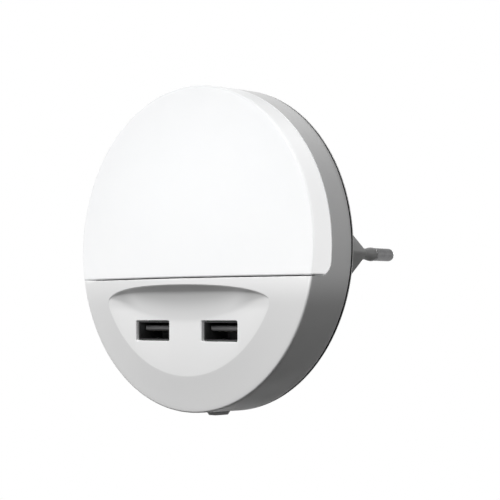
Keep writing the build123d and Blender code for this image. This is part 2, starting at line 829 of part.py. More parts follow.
def transformer_bobbin():
    """Plastic bobbin round the centre post, with feet on the board."""
    y0, y1 = winding_span()
    half_post = core_post / 2 + core_fit
    half_z = core_thick / 2 + core_fit
    half_x = core_width / 2 - core_leg - core_fit
    half_side = bobbin_side / 2
    wall = bobbin_tube
    tube = block(-half_post - wall, half_post + wall, y0, y1, -half_z - wall, half_z + wall)
    for y, step in ((y0, -bobbin_flange), (y1, bobbin_flange)):
        tube += block(-half_x, half_x, y, y + step, -half_side, half_side)
    tube -= block(-half_post, half_post, y0 - 2, y1 + 2, -half_z, half_z)
    foot_z = half_z + bobbin_flange
    for side in (-1, 1):
        tube += block(-half_x, half_x, y_board_rear, y0, side * foot_z, side * half_side)
    return tube


def transformer_winding():
    """Taped winding between the bobbin's flanges."""
    y0, y1 = winding_span()
    half_post = core_post / 2 + core_fit + bobbin_tube
    half_z = core_thick / 2 + core_fit + bobbin_tube
    half_x = core_width / 2 - core_leg - winding_gap
    half_side = bobbin_side / 2 - winding_gap
    coil = block(-half_x, half_x, y0, y1, -half_side, half_side)
    coil = fillet(coil.edges().filter_by(Axis.Y), winding_round)
    return coil - block(-half_post, half_post, y0 - 1, y1 + 1, -half_z, half_z)


def can(x, z, length):
    """Electrolytic capacitor standing on the board, with its crimp groove."""
    y1 = y_board_rear + length
    body = rod(x, z, can_r, y_board_rear, y1)
    body = chamfer(body.faces().sort_by(Axis.Y)[-1].edges(), can_groove)
    y_groove = y_board_rear + can_crimp
    ring = rod(x, z, can_r + 1, y_groove, y_groove + 2 * can_groove)
    return body - (ring - rod(x, z, can_r - can_groove, y_groove - 1, y1))


def input_capacitors():
    """Two capacitors on the mains side."""
    return Compound([can(x, z, input_can_length) for x, z in input_can_places])


def output_capacitor():
    """Capacitor on the low-voltage side."""
    return can(*output_can_place, output_can_length)


def y_capacitor():
    """Disc capacitor across the transformer, standing on its two legs."""
    x, z = disc_place
    y_mid = y_board_rear + disc_stand + disc_r
    disc = Pos(x, y_mid, z) * Cylinder(disc_r, disc_thick)
    disc = chamfer(disc.edges(), disc_thick / 4)
    for side in (-1, 1):
        disc += rod(x + side * disc_r * 0.6, z, lead_r, y_board_rear, y_mid - disc_r / 2)
    return disc


def fuse_resistor():
    """Fusible resistor standing on the board, with its return lead."""
    x, z = fuse_place
    y0 = y_board_rear + fuse_stand
    body = rod(x, z, fuse_r, y0, y0 + fuse_length)
    body = chamfer(body.edges(), fuse_r / 4)
    return body + rod(x, z, lead_r, y_board_rear, y0 + bite)


def bridge_rectifier():
    """Bridge rectifier on edge."""
    width, depth, height = bridge_size
    x, z = bridge_place
    return bar(x, z, width, height, y_board_rear, y_board_rear + depth)


def chip(place):
    """A moulded chip with a row of legs on each side, on the front of the main board."""
    width, height, depth = chip_size
    x, z = place
    body = bar(x, z, width, height, y_board - depth, y_board - chip_stand)
    for step in (-1.5, -0.5, 0.5, 1.5):
        x_leg = x + step * chip_leg_pitch
        body += bar(x_leg, z, chip_leg, height + 2 * chip_leg_reach, y_board - chip_leg, y_board)
    return body


def power_controller():
    """Chip that drives the transformer."""
    return chip(power_chip_place)


def usb_controller():
    """Chip that shares the charging current between the ports."""
    return chip(usb_chip_place)


# ---------------------------------------------------------------- export
def all_nodes():
    """Every sub-part by its node's name."""
    nodes = {
        "front_shell": front_shell(),
        "diffuser": diffuser(),
        "rear_cover": rear_cover(),
        "plug_block": plug_block(),
        "main_board": main_board(),
        "led_board": led_board(),
        "leds": leds(),
        "led_header_base": led_header_base(),
        "led_header_pins": led_header_pins(),
        "case_screws": case_screws(),
        "board_screws": board_screws(),
        "led_board_screws": led_board_screws(),
        "switch_knob": switch_knob(),
        "switch_slider": switch_slider(),
        "switch_body": switch_body(),
        "switch_frame": switch_frame(),
        "transformer_core_front": transformer_core_front(),
        "transformer_core_rear": transformer_core_rear(),
        "transformer_bobbin": transformer_bobbin(),
        "transformer_winding": transformer_winding(),
        "input_capacitors": input_capacitors(),
        "output_capacitor": output_capacitor(),
        "y_capacitor": y_capacitor(),
        "fuse_resistor": fuse_resistor(),
        "bridge_rectifier": bridge_rectifier(),
        "power_controller": power_controller(),
        "usb_controller": usb_controller(),
    }
    for name, side in (("left", -1), ("right", 1)):
        nodes["plug_pin_" + name] = plug_pin(side)
        nodes["pin_sleeve_" + name] = pin_sleeve(side)
        nodes["pin_contact_" + name] = pin_contact(side)
        nodes["usb_shell_" + name] = usb_shell(side)
        nodes["usb_tongue_" + name] = usb_tongue(side)
        nodes["usb_contacts_" + name] = usb_contacts(side)
    return nodes


os.makedirs("parts", exist_ok=True)
for node, solid in all_nodes().items():
    export_step(solid, "parts/" + node + ".step")
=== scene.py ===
# %% [markdown]
# # A plug in night light with two charging ports
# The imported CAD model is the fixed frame: every piece below goes where it says, in metres, with +Z up,
# the mains pins along +Y and the lamp facing -Y. Sizes are written in millimetres and turned into
# metres by MM, because that is how a moulded part like this is drawn.

# %% Load the frame
import bpy
from math import atan, cos, pi, radians, sin, sqrt, tan
from mathutils import Matrix, Vector


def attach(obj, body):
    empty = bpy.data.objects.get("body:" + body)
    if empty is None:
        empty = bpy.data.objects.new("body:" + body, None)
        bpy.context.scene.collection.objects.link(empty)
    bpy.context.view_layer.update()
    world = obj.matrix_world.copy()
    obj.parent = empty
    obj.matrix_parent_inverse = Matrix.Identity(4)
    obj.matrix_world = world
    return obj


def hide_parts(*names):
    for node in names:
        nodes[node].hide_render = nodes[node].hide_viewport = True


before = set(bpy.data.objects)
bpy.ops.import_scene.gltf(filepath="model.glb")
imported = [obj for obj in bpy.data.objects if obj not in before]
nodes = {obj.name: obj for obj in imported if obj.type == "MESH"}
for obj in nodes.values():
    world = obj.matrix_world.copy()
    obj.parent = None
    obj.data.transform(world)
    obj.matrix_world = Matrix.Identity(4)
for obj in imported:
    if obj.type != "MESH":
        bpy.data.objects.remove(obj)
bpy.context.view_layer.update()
MM = 0.001

# %% [markdown]
# ## Camera
# The lamp is seen from 43 degrees to its right and a little from below, from about 0.42 m. At that
# distance a 110 mm lens fills the frame, and the round front already looks like a narrow oval.

# %% Camera
AZIMUTH, ELEVATION, ROLL = radians(43.087), radians(-2.404), radians(-0.119)
LENS, DISTANCE = 109.74, 0.41689
AIM = Vector((0.022768, -0.06082, -0.001083))
backward = Vector((sin(AZIMUTH) * cos(ELEVATION), -cos(AZIMUTH) * cos(ELEVATION), sin(ELEVATION)))
sideways = (-backward).cross(Vector((0, 0, 1))).normalized()
upward = sideways.cross(-backward)
right = cos(ROLL) * sideways + sin(ROLL) * upward
up = cos(ROLL) * upward - sin(ROLL) * sideways
turn = Matrix((right, up, backward)).transposed().to_4x4()
camera_data = bpy.data.cameras.new("camera")
camera_data.sensor_width = 36
camera_data.lens = LENS
camera_data.clip_start = 0.01
camera = bpy.data.objects.new("camera", camera_data)
camera.matrix_world = Matrix.Translation(AIM + DISTANCE * backward) @ turn
bpy.context.scene.collection.objects.link(camera)
bpy.context.scene.camera = camera
print("camera at", [round(v, 3) for v in camera.matrix_world.translation])

# %% [markdown]
# ## Finishes
# Every finish starts from the same few moves: a noise in Object coordinates, so that the pattern stays
# on the piece when it moves, a colour that drifts a little with that noise, a gloss that drifts with it,
# and a fine bump. Moulded plastic is never quite even: the tool is spark eroded, which leaves a grain of
# about a quarter of a millimetre, and handling leaves faint smears in the gloss.

# %% Helpers for finishes
def new_finish(name, colour, roughness, metallic=0.0, specular=0.5):
    """A material with one Principled shader, whose even values are set on its own sockets."""
    material = bpy.data.materials.new(name)
    material.use_nodes = True
    tree = material.node_tree
    tree.nodes.clear()
    shader = tree.nodes.new("ShaderNodeBsdfPrincipled")
    shader.inputs["Base Color"].default_value = (*colour, 1)
    shader.inputs["Roughness"].default_value = roughness
    shader.inputs["Metallic"].default_value = metallic
    shader.inputs["Specular IOR Level"].default_value = specular
    output = tree.nodes.new("ShaderNodeOutputMaterial")
    tree.links.new(shader.outputs["BSDF"], output.inputs["Surface"])
    return material, tree, shader


def placed(tree, stretch=(1, 1, 1)):
    """Object coordinates, stretched along an axis where a grain has a direction."""
    place = tree.nodes.new("ShaderNodeTexCoord")
    mapping = tree.nodes.new("ShaderNodeMapping")
    mapping.inputs["Scale"].default_value = stretch
    tree.links.new(place.outputs["Object"], mapping.inputs["Vector"])
    return mapping.outputs["Vector"]


def cloud(tree, size, detail=2.0, stretch=(1, 1, 1)):
    """A noise whose patches are about this size in metres."""
    noise = tree.nodes.new("ShaderNodeTexNoise")
    noise.inputs["Scale"].default_value = 1 / size
    noise.inputs["Detail"].default_value = detail
    tree.links.new(placed(tree, stretch), noise.inputs["Vector"])
    return noise.outputs["Fac"]


def spread(tree, value, start, end, low, high, kind="LINEAR"):
    """Map a value that lies between two limits onto another pair of limits."""
    node = tree.nodes.new("ShaderNodeMapRange")
    node.interpolation_type = kind
    for name, number in zip(("From Min", "From Max", "To Min", "To Max"), (start, end, low, high)):
        node.inputs[name].default_value = number
    tree.links.new(value, node.inputs["Value"])
    return node.outputs["Result"]


def two_colours(tree, value, one, other, start=0.3, end=0.7):
    """A ramp that goes from one colour to the other between two values."""
    ramp = tree.nodes.new("ShaderNodeValToRGB")
    for stop, position, colour in zip(ramp.color_ramp.elements, (start, end), (one, other)):
        stop.position = position
        stop.color = (*colour, 1)
    tree.links.new(value, ramp.inputs["Fac"])
    return ramp.outputs["Color"]


def drift_colour(tree, shader, pattern, one, other):
    """The base colour wanders between two close colours."""
    tree.links.new(two_colours(tree, pattern, one, other), shader.inputs["Base Color"])


def drift_gloss(tree, shader, pattern, low, high):
    """The roughness wanders between two values."""
    tree.links.new(spread(tree, pattern, 0.3, 0.7, low, high), shader.inputs["Roughness"])


def grain(tree, shader, pattern, depth, strength=1.0):
    """A fine relief, this deep in metres."""
    bump = tree.nodes.new("ShaderNodeBump")
    bump.inputs["Strength"].default_value = strength
    bump.inputs["Distance"].default_value = depth
    tree.links.new(pattern, bump.inputs["Height"])
    tree.links.new(bump.outputs["Normal"], shader.inputs["Normal"])


def along(tree, vector, axis, start, end, low, high, even=False):
    """A value that goes from low to high between two places, in millimetres, on an axis or a radius."""
    split = tree.nodes.new("ShaderNodeSeparateXYZ")
    tree.links.new(vector, split.inputs[0])
    value = split.outputs.get(axis)
    if value is None:
        flat = tree.nodes.new("ShaderNodeCombineXYZ")
        length = tree.nodes.new("ShaderNodeVectorMath")
        length.operation = "LENGTH"
        tree.links.new(split.outputs["X"], flat.inputs["X"])
        tree.links.new(split.outputs["Z"], flat.inputs["Z"])
        tree.links.new(flat.outputs[0], length.inputs[0])
        value = length.outputs["Value"]
    return spread(tree, value, start * MM, end * MM, low, high, "LINEAR" if even else "SMOOTHSTEP")


def calc(tree, operation, one, other):
    """A math node between two sockets or numbers; returns its result."""
    node = tree.nodes.new("ShaderNodeMath")
    node.operation = operation
    for value, entry in zip((one, other), node.inputs):
        if isinstance(value, (int, float)):
            entry.default_value = value
        else:
            tree.links.new(value, entry)
    return node.outputs[0]


def product(tree, first, *others):
    """Sockets or numbers, multiplied."""
    for other in others:
        first = calc(tree, "MULTIPLY", first, other)
    return first


def dim_colour(tree, shader, share):
    """Let only this share of the base colour through."""
    dim = tree.nodes.new("ShaderNodeVectorMath")
    dim.operation = "SCALE"
    tree.links.new(shader.inputs["Base Color"].links[0].from_socket, dim.inputs[0])
    tree.links.new(share, dim.inputs["Scale"])
    tree.links.new(dim.outputs[0], shader.inputs["Base Color"])


def shader_of(tree):
    """The Principled shader of a finish that is made already."""
    return next(node for node in tree.nodes if node.type == "BSDF_PRINCIPLED")


finishes = {}
print("finish helpers ready")

# %% [markdown]
# ### Casing plastic
# The casing is matt white polycarbonate, a little greyer and warmer than the opal cap. Its grain is too
# fine to see from here, but it is what spreads the highlight on the front edge.

# %% Casing plastic
CASING = (0.78, 0.78, 0.78)
casing, tree, shader = new_finish("casing_plastic", CASING, 0.5, specular=0.12)
drift_colour(tree, shader, cloud(tree, 14 * MM), (0.775, 0.776, 0.776), (0.79, 0.79, 0.789))
drift_gloss(tree, shader, cloud(tree, 6 * MM, 3), 0.44, 0.56)
grain(tree, shader, cloud(tree, 0.25 * MM, 3), 0.006 * MM)
finishes["housing"] = casing
print(casing.name)

# %% [markdown]
# ### Rear cover
# The cover is the same plastic. Its rim lies 0.6 mm behind the casing, and the groove between them is deep:
# what faces the groove gets painted shade, its colour darkened by radius and by depth.

# %% Rear cover plastic
GROOVE_PAINTED_SHADE = 0.04
cover_plastic = casing.copy()
cover_plastic.name = "cover_plastic"
tree = cover_plastic.node_tree
shader = shader_of(tree)
# painted shade: the faces in the groove are darkened to a twenty-fifth, by radius and by depth
by_radius = along(tree, placed(tree), "radius", 46.3, 46.46, GROOVE_PAINTED_SHADE, 1.0)
by_depth = along(tree, placed(tree), "Y", -45.39, -45.37, GROOVE_PAINTED_SHADE, 1.0)
dim_colour(tree, shader, calc(tree, "MAXIMUM", by_radius, by_depth))
print(cover_plastic.name)

# %% [markdown]
# ### Opal cap
# The cap is milky acrylic that scatters light inside, which is what hides the lamps behind it. A little
# subsurface scattering softens its edges. Its own colour is a mid grey, so that an emission carries most of
# its brightness: partly the lamps inside, partly painted light. The glow grows towards the skirt, towards
# the right and lower down, and it is cut back as painted shade at the upper and left rim. It is read from
# Object coordinates, and dies out at the very lower edge, which faces the dark joint.

# %% Opal cap
OPAL = (0.60, 0.605, 0.61)
GLOW_PAINTED_BY_HEIGHT, GLOW_PAINTED_ACROSS, GLOW_SKIRT = (0.40, 0.25), (-0.01, 0.045), 0.235
RIM_PAINTED_SHADE = 0.1
opal, tree, shader = new_finish("opal_cap", OPAL, 0.4, specular=0.2)
drift_colour(tree, shader, cloud(tree, 22 * MM), (0.595, 0.603, 0.61), (0.605, 0.61, 0.615))
drift_gloss(tree, shader, cloud(tree, 8 * MM, 3), 0.34, 0.46)
grain(tree, shader, cloud(tree, 0.4 * MM, 2), 0.003 * MM)
shader.subsurface_method = "RANDOM_WALK"
shader.inputs["Subsurface Weight"].default_value = 0.35
shader.inputs["Subsurface Radius"].default_value = (1.0, 1.0, 1.0)
shader.inputs["Subsurface Scale"].default_value = 1.5 * MM
shader.inputs["Emission Color"].default_value = (1, 1, 1, 1)
place = placed(tree)
# painted light: the glow is stronger lower down, towards the right and on the skirt, and fades at the top
# of the skirt
height_share = along(tree, place, "Z", -8.3, 46.5, *GLOW_PAINTED_BY_HEIGHT, even=True)
side_share = along(tree, place, "X", -46.5, 46.5, *GLOW_PAINTED_ACROSS, even=True)
rim = along(tree, place, "radius", 46.2, 46.42, 0.0, GLOW_SKIRT)
rim_share = product(tree, rim, along(tree, place, "Z", 26, 46, 1.0, 0.25))
# painted shade: the glow is cut back at the upper and left rim
left_painted_shade = along(tree, place, "X", -14, 18, RIM_PAINTED_SHADE, 0.0)
upper_painted_shade = along(tree, place, "Z", 28, 44, 0.0, RIM_PAINTED_SHADE)
at_edge = along(tree, place, "radius", 45.65, 45.95, 0.0, 1.0)
rim_shade_painted = product(tree, calc(tree, "MAXIMUM", left_painted_shade, upper_painted_shade), at_edge)
glow = calc(tree, "ADD", calc(tree, "ADD", height_share, side_share), rim_share)
glow = calc(tree, "SUBTRACT", glow, rim_shade_painted)
lower_edge = along(tree, place, "Z", -8.25, -7.7, 0.0, 1.0)
tree.links.new(product(tree, glow, lower_edge), shader.inputs["Emission Strength"])
finishes["diffuser"] = opal
print(opal.name, "glow", GLOW_PAINTED_BY_HEIGHT, "skirt", GLOW_SKIRT)

# %% [markdown]
# ### Plastics round the plug and the switch
# The plug block is the same white plastic as the casing, in a polished tool, so it is a little glossier;
# its colour is darkened to about half as painted shade, as it lies in the shade of the body.
# The sleeves are softer and greyer. The switch tab has a fine grain so that a nail can grip it.

# %% White plastics
def plastic(slot, name, one, other, gloss, size, depth, specular=0.2):
    """A moulded plastic: two close colours, a gloss between two values, a grain in millimetres."""
    middle = [(a + b) / 2 for a, b in zip(one, other)]
    material, tree, shader = new_finish(name, middle, sum(gloss) / 2, specular=specular)
    drift_colour(tree, shader, cloud(tree, 9 * MM, 3), one, other)
    drift_gloss(tree, shader, cloud(tree, 3 * MM, 3), *gloss)
    grain(tree, shader, cloud(tree, size * MM, 3), depth * MM)
    finishes[slot] = material
    print(name)


# painted shade: the plug block is darker than the casing because it lies in the shade of the body
plastic(
    "plug_plastic", "plug_block_plastic", (0.50, 0.50, 0.498), (0.53, 0.53, 0.528), (0.5, 0.6), 0.3, 0.004
)
plastic("sleeve", "sleeve_plastic", (0.42, 0.42, 0.42), (0.46, 0.46, 0.458), (0.42, 0.55), 0.2, 0.005)
plastic("knob", "switch_tab_plastic", (0.70, 0.70, 0.70), (0.73, 0.73, 0.728), (0.45, 0.6), 0.12, 0.01)

# %% [markdown]
# ### Dark plastics
# The tongues are glass filled nylon: dark, with the mottle that the glass leaves at the surface. The
# switch, the header and the chips are black with a fine matt mould texture.

# %% Dark plastics
plastic("tongue", "tongue_nylon", (0.12, 0.12, 0.122), (0.17, 0.17, 0.172), (0.4, 0.6), 0.15, 0.006, 0.4)
plastic(
    "black_plastic", "black_moulding", (0.012, 0.012, 0.013),
    (0.02, 0.02, 0.021), (0.45, 0.65), 0.1, 0.006, 0.4
)
plastic(
    "can_sleeve", "capacitor_sleeve", (0.012, 0.02, 0.05), (0.02, 0.03, 0.07), (0.25, 0.4), 0.8, 0.02, 0.5
)

# %% [markdown]
# ### Metals
# A turned pin keeps fine rings from the tool, so its pattern is stretched until it changes along Y only.
# Pressed sheet shows the rolling direction as long faint lines. Both are metals, so they take their colour
# from what they reflect. The pins, the port steel and the contacts are given dark colours as painted shade:
# the pins lie in the shade of the body, the rest deep inside the ports.

# %% Metals
def metal(slot, name, one, other, gloss, stretch, size, depth):
    """A metal whose marks are stretched along the direction in which it was worked."""
    middle = [(a + b) / 2 for a, b in zip(one, other)]
    material, tree, shader = new_finish(name, middle, sum(gloss) / 2, metallic=1.0)
    drift_colour(tree, shader, cloud(tree, 1.5 * MM, 3), one, other)
    drift_gloss(tree, shader, cloud(tree, size * MM, 2, stretch), *gloss)
    grain(tree, shader, cloud(tree, size * MM, 2, stretch), depth * MM)
    finishes[slot] = material
    print(name)


TURNED, ROLLED, EVEN = (0.02, 1, 0.02), (1, 0.04, 1), (1, 1, 1)
# painted shade: pins, port steel and contacts get dark colours because they lie in shade
metal(
    "pin_metal", "dull_nickel", (0.13, 0.13, 0.132), (0.17, 0.17, 0.172), (0.36, 0.5), TURNED, 0.12, 0.002
)
metal(
    "port_steel", "tinned_steel", (0.08, 0.08, 0.082), (0.11, 0.11, 0.112), (0.35, 0.5), ROLLED, 0.1, 0.001
)
metal(
    "contacts", "contact_plating", (0.22, 0.20, 0.15), (0.28, 0.25, 0.18), (0.25, 0.4), ROLLED, 0.08, 0.001
)
metal(
    "strip_brass", "brass_strip", (0.62, 0.45, 0.20), (0.72, 0.53, 0.26), (0.25, 0.42), ROLLED, 0.15, 0.002
)
metal("screw_steel", "zinc_plate", (0.52, 0.53, 0.55), (0.62, 0.63, 0.65), (0.28, 0.45), EVEN, 0.3, 0.003)

# %% [markdown]
# ### Boards and lamps
# A printed board is more than its green: under the lacquer lie copper tracks, which show as lighter
# lines. A cell pattern with square distance gives lines that run at right angles, and a narrow ramp
# turns its edges into tracks. The lamp board is white, to throw light forward, over the same tracks.

# %% Boards and lamps
def board(slot, name, ground, track, cell_size):
    """Lacquered board with faint tracks below the lacquer."""
    material, tree, shader = new_finish(name, ground, 0.35, specular=0.45)
    cells = tree.nodes.new("ShaderNodeTexVoronoi")
    cells.feature = "F1"
    cells.distance = "MANHATTAN"
    cells.inputs["Scale"].default_value = 1 / cell_size
    tree.links.new(placed(tree), cells.inputs["Vector"])
    colour = two_colours(tree, cells.outputs["Distance"], ground, track, 0.42, 0.48)
    tree.links.new(colour, shader.inputs["Base Color"])
    grain(tree, shader, colour, 0.02 * MM, 0.6)
    drift_gloss(tree, shader, cloud(tree, 5 * MM), 0.28, 0.42)
    finishes[slot] = material
    print(name)


board("board_green", "green_lacquer", (0.01, 0.10, 0.04), (0.03, 0.19, 0.08), 2.6 * MM)
board("board_white", "white_lacquer", (0.78, 0.78, 0.77), (0.70, 0.70, 0.68), 3.5 * MM)
plastic("led", "lamp_phosphor", (0.80, 0.70, 0.30), (0.86, 0.78, 0.42), (0.4, 0.6), 0.2, 0.01, 0.4)

# %% [markdown]
# ### Parts of the power supply
# These are seen only when the casing is open. Ferrite is a fired black ceramic with a sandy skin, the
# winding is wrapped in yellow film that creases across, the small capacitor is dipped in blue epoxy and
# the fusible resistor in a sandy cement.

# %% Power supply finishes
plastic("ferrite", "ferrite", (0.025, 0.025, 0.027), (0.045, 0.045, 0.048), (0.55, 0.8), 0.15, 0.03, 0.4)
plastic("tape", "polyester_tape", (0.78, 0.55, 0.05), (0.85, 0.63, 0.09), (0.2, 0.35), 1.2, 0.05, 0.5)
plastic("ceramic_blue", "blue_epoxy", (0.02, 0.12, 0.36), (0.03, 0.16, 0.45), (0.2, 0.35), 1.0, 0.04, 0.5)
plastic("resistor", "cement_coat", (0.30, 0.42, 0.38), (0.38, 0.50, 0.46), (0.5, 0.7), 0.25, 0.02, 0.4)
print(len(finishes), "finishes")

# %% [markdown]
# ## Modelling moves
# Each piece is made as it would be by hand: a primitive is added, its faces and edges are picked by
# where they lie, and operators shape them. The frame leaves its own meshes selected, so every piece
# starts by clearing the selection. All finished meshes keep their object at the origin. A spin or a cut
# leaves its faces in another order each run, and a boolean follows that order when it divides faces, so
# meshes are sorted first, and the result is the same each time.

# %% Helpers for modelling
def clear_selection():
    """Nothing selected, object mode: the state every piece starts from."""
    if bpy.context.object and bpy.context.object.mode != "OBJECT":
        bpy.ops.object.mode_set(mode="OBJECT")
    bpy.ops.object.select_all(action="DESELECT")


def only(obj):
    """Make this object the one that the operators act on."""
    clear_selection()
    obj.select_set(True)
    bpy.context.view_layer.objects.active = obj


def edit_all(obj):
    """Edit mode with the whole mesh selected."""
    only(obj)
    bpy.ops.object.mode_set(mode="EDIT")
    bpy.ops.mesh.select_all(action="SELECT")


def pick_faces(obj, wanted):
    """Select the faces whose centre and normal pass a test, in edit mode."""
    edit_all(obj)
    bpy.ops.mesh.select_all(action="DESELECT")
    bpy.ops.object.mode_set(mode="OBJECT")
    for face in obj.data.polygons:
        face.select = wanted(face.center / MM, face.normal)
    bpy.ops.object.mode_set(mode="EDIT")
    bpy.ops.mesh.select_mode(type="FACE")


def pick_edges(obj, wanted):
    """Select the edges whose two ends, in millimetres, pass a test, in edit mode."""
    edit_all(obj)
    bpy.ops.mesh.select_mode(type="EDGE")
    bpy.ops.mesh.select_all(action="DESELECT")
    bpy.ops.object.mode_set(mode="OBJECT")
    points = obj.data.vertices
    for edge in obj.data.edges:
        one, other = (points[i].co / MM for i in edge.vertices)
        edge.select = wanted(one, other)
    bpy.ops.object.mode_set(mode="EDIT")


def settle(name):
    """Name the active object and put its place, turn and size into its mesh."""
    obj = bpy.context.object
    obj.name = obj.data.name = name
    bpy.ops.object.transform_apply(location=True, rotation=True, scale=True)
    return obj


def turned_to(obj, x, z, angle):
    """Turn an object about Y by degrees and move it, in its mesh."""
    obj.rotation_euler = (0, -radians(angle), 0)
    obj.location = (x * MM, 0, z * MM)
    only(obj)
    return settle(obj.name)


def box(name, low, high):
    """A cube between two corners, in millimetres, with its place in its mesh."""
    clear_selection()
    middle = [(a + b) / 2 * MM for a, b in zip(low, high)]
    size = [(b - a) * MM for a, b in zip(low, high)]
    bpy.ops.mesh.primitive_cube_add(size=1, location=middle, scale=size)
    return settle(name)


def rod(name, x, z, radius, y0, y1, sides=48):
    """A round bar along Y."""
    clear_selection()
    bpy.ops.mesh.primitive_cylinder_add(
        vertices=sides, radius=radius * MM, depth=abs(y1 - y0) * MM,
        location=(x * MM, (y0 + y1) / 2 * MM, z * MM), rotation=(pi / 2, 0, 0),
    )
    return settle(name)


def rounded_block(name, width, height, corner, y0, y1, x=0.0, z=0.0):
    """A block with its edges along Y rounded."""
    block = box(name, (x - width / 2, y0, z - height / 2), (x + width / 2, y1, z + height / 2))
    pick_edges(block, lambda a, b: abs(a.y - b.y) > 0.1)
    bevel_picked(corner, 6)
    return block


ODD_PLACE = (0.0123, 0.3456, 0.0789)


def put_in_order(obj):
    """Sort the mesh by distance from an odd place, where no two distances are equal."""
    edit_all(obj)
    bpy.context.scene.cursor.location = ODD_PLACE
    bpy.ops.mesh.sort_elements(type="CURSOR_DISTANCE", elements={"VERT", "EDGE", "FACE"})
    bpy.context.scene.cursor.location = (0, 0, 0)
    bpy.ops.object.mode_set(mode="OBJECT")


def draw(points, x=0.0, z=0.0):
    """Move the picked vertex or edge to the first of these points and extrude it through the others."""
    start = points[0]
    bpy.ops.transform.translate(value=((start[0] + x) * MM, start[1] * MM, (start[2] + z) * MM))
    for point, following in zip(points, points[1:]):
        step = tuple((b - a) * MM for a, b in zip(point, following))
        bpy.ops.mesh.extrude_region_move(TRANSFORM_OT_translate={"value": step})


def lathe(name, section, steps=160, x=0.0, z=0.0):
    """Draw a section of (radius, y) points and spin it about an axis along Y."""
    clear_selection()
    bpy.ops.mesh.primitive_plane_add(size=MM)
    obj = settle(name)
    bpy.ops.object.mode_set(mode="EDIT")
    bpy.ops.mesh.select_all(action="SELECT")
    bpy.ops.mesh.merge(type="CENTER")
    bpy.ops.mesh.select_mode(type="VERT")
    bpy.ops.mesh.select_all(action="SELECT")
    draw([(r, y, 0) for r, y in section], x, z)
    bpy.ops.mesh.select_all(action="SELECT")
    bpy.ops.mesh.remove_doubles(threshold=0.001 * MM)
    bpy.ops.mesh.spin(steps=steps, angle=2 * pi, center=(x * MM, 0, z * MM), axis=(0, 1, 0))
    bpy.ops.mesh.select_all(action="SELECT")
    bpy.ops.mesh.remove_doubles(threshold=0.002 * MM)
    bpy.ops.mesh.normals_make_consistent(inside=False)
    bpy.ops.object.mode_set(mode="OBJECT")
    put_in_order(obj)
    return obj


def slice_off(obj, point, normal):
    """Cut with a plane and drop what lies on the side its normal points to."""
    edit_all(obj)
    bpy.ops.mesh.bisect(
        plane_co=[v * MM for v in point], plane_no=normal, use_fill=True, clear_outer=True, threshold=1e-7
    )
    bpy.ops.object.mode_set(mode="OBJECT")


def modify(obj, kind, **settings):
    """Give an object a modifier with these settings and apply it."""
    only(obj)
    modifier = obj.modifiers.new(kind.lower(), kind)
    for name, value in settings.items():
        setattr(modifier, name, value)
    bpy.ops.object.modifier_apply(modifier=modifier.name)


def combine(obj, other, how="DIFFERENCE"):
    """Boolean with another mesh, which is used up."""
    put_in_order(other)
    put_in_order(obj)
    modify(obj, "BOOLEAN", operation=how, solver="EXACT", object=other)
    bpy.data.objects.remove(other)
    return obj


def soften(obj, width, angle=40, segments=2):
    """Round the edges that are sharper than an angle."""
    modify(
        obj, "BEVEL", width=width * MM, segments=segments, limit_method="ANGLE", angle_limit=radians(angle)
    )


def bevel_picked(width, segments):
    """Round the picked edges."""
    bpy.ops.mesh.bevel(offset=width * MM, segments=segments, affect="EDGES", clamp_overlap=False)
    bpy.ops.object.mode_set(mode="OBJECT")


def tell(obj):
    """Print how many faces a mesh has by now."""
    print(obj.name, len(obj.data.polygons), "faces")


def fit_in(obj, slot, body, *replaced, smooth=30):
    """Smooth the shading, give the finish, tie the piece to its body and hide the CAD nodes that it
    replaces.
    """
    edit_all(obj)
    bpy.ops.mesh.remove_doubles(threshold=0.001 * MM)
    bpy.ops.mesh.dissolve_degenerate(threshold=0.001 * MM)
    bpy.ops.object.mode_set(mode="OBJECT")
    bpy.ops.object.shade_smooth_by_angle(angle=radians(smooth))
    obj.data.materials.clear()
    if slot in finishes:
        obj.data.materials.append(finishes[slot])
    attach(obj, body)
    if replaced:
        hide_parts(*replaced)
    tell(obj)


SIDES = ((-1, "left"), (1, "right"))
print("modelling helpers ready")

# %% [markdown]
# ## The round form
# Cap and casing share one outside: a shallow dome, a small rounding and a side wall that swells a
# little towards the rear, the draft a moulded part needs to leave its tool. The dome is round in the
# middle and almost a cone near the rim. One function draws that section, for the outside and, set in
# by the wall, for a hollow, so that both pieces meet.

# %% Section of the round form
BODY_R, FRONT_R, WALL_LENGTH = 46.5, 46.4, 15.5
CROWN_Y, CASE_REAR = -67.8, -46.0
DOME_2, DOME_4 = 0.0041523, -5.729e-7
SEAM_TOP, SEAM_LOW = -8.3, -8.6
SKIRT_Y, DECK_Y = -54.5, -54.2


def wall_radius(y, lean=False):
    """Outer radius of the side wall at a place along Y, or the angle it leans there."""
    share = max(CASE_REAR - y, 0) / WALL_LENGTH
    if lean:
        return atan(2 * (BODY_R - FRONT_R) * share / WALL_LENGTH)
    return BODY_R - (BODY_R - FRONT_R) * share ** 2


def dome_y(r, set_in=0.0):
    """Y of the dome, or of a surface this far behind it, at a radius."""
    slope = 2 * DOME_2 * r + 4 * DOME_4 * r ** 3
    return CROWN_Y + DOME_2 * r ** 2 + DOME_4 * r ** 4 + set_in * sqrt(1 + slope ** 2)


def dome_front(x, z):
    """Y of the dome over a point."""
    return dome_y(sqrt(x * x + z * z))


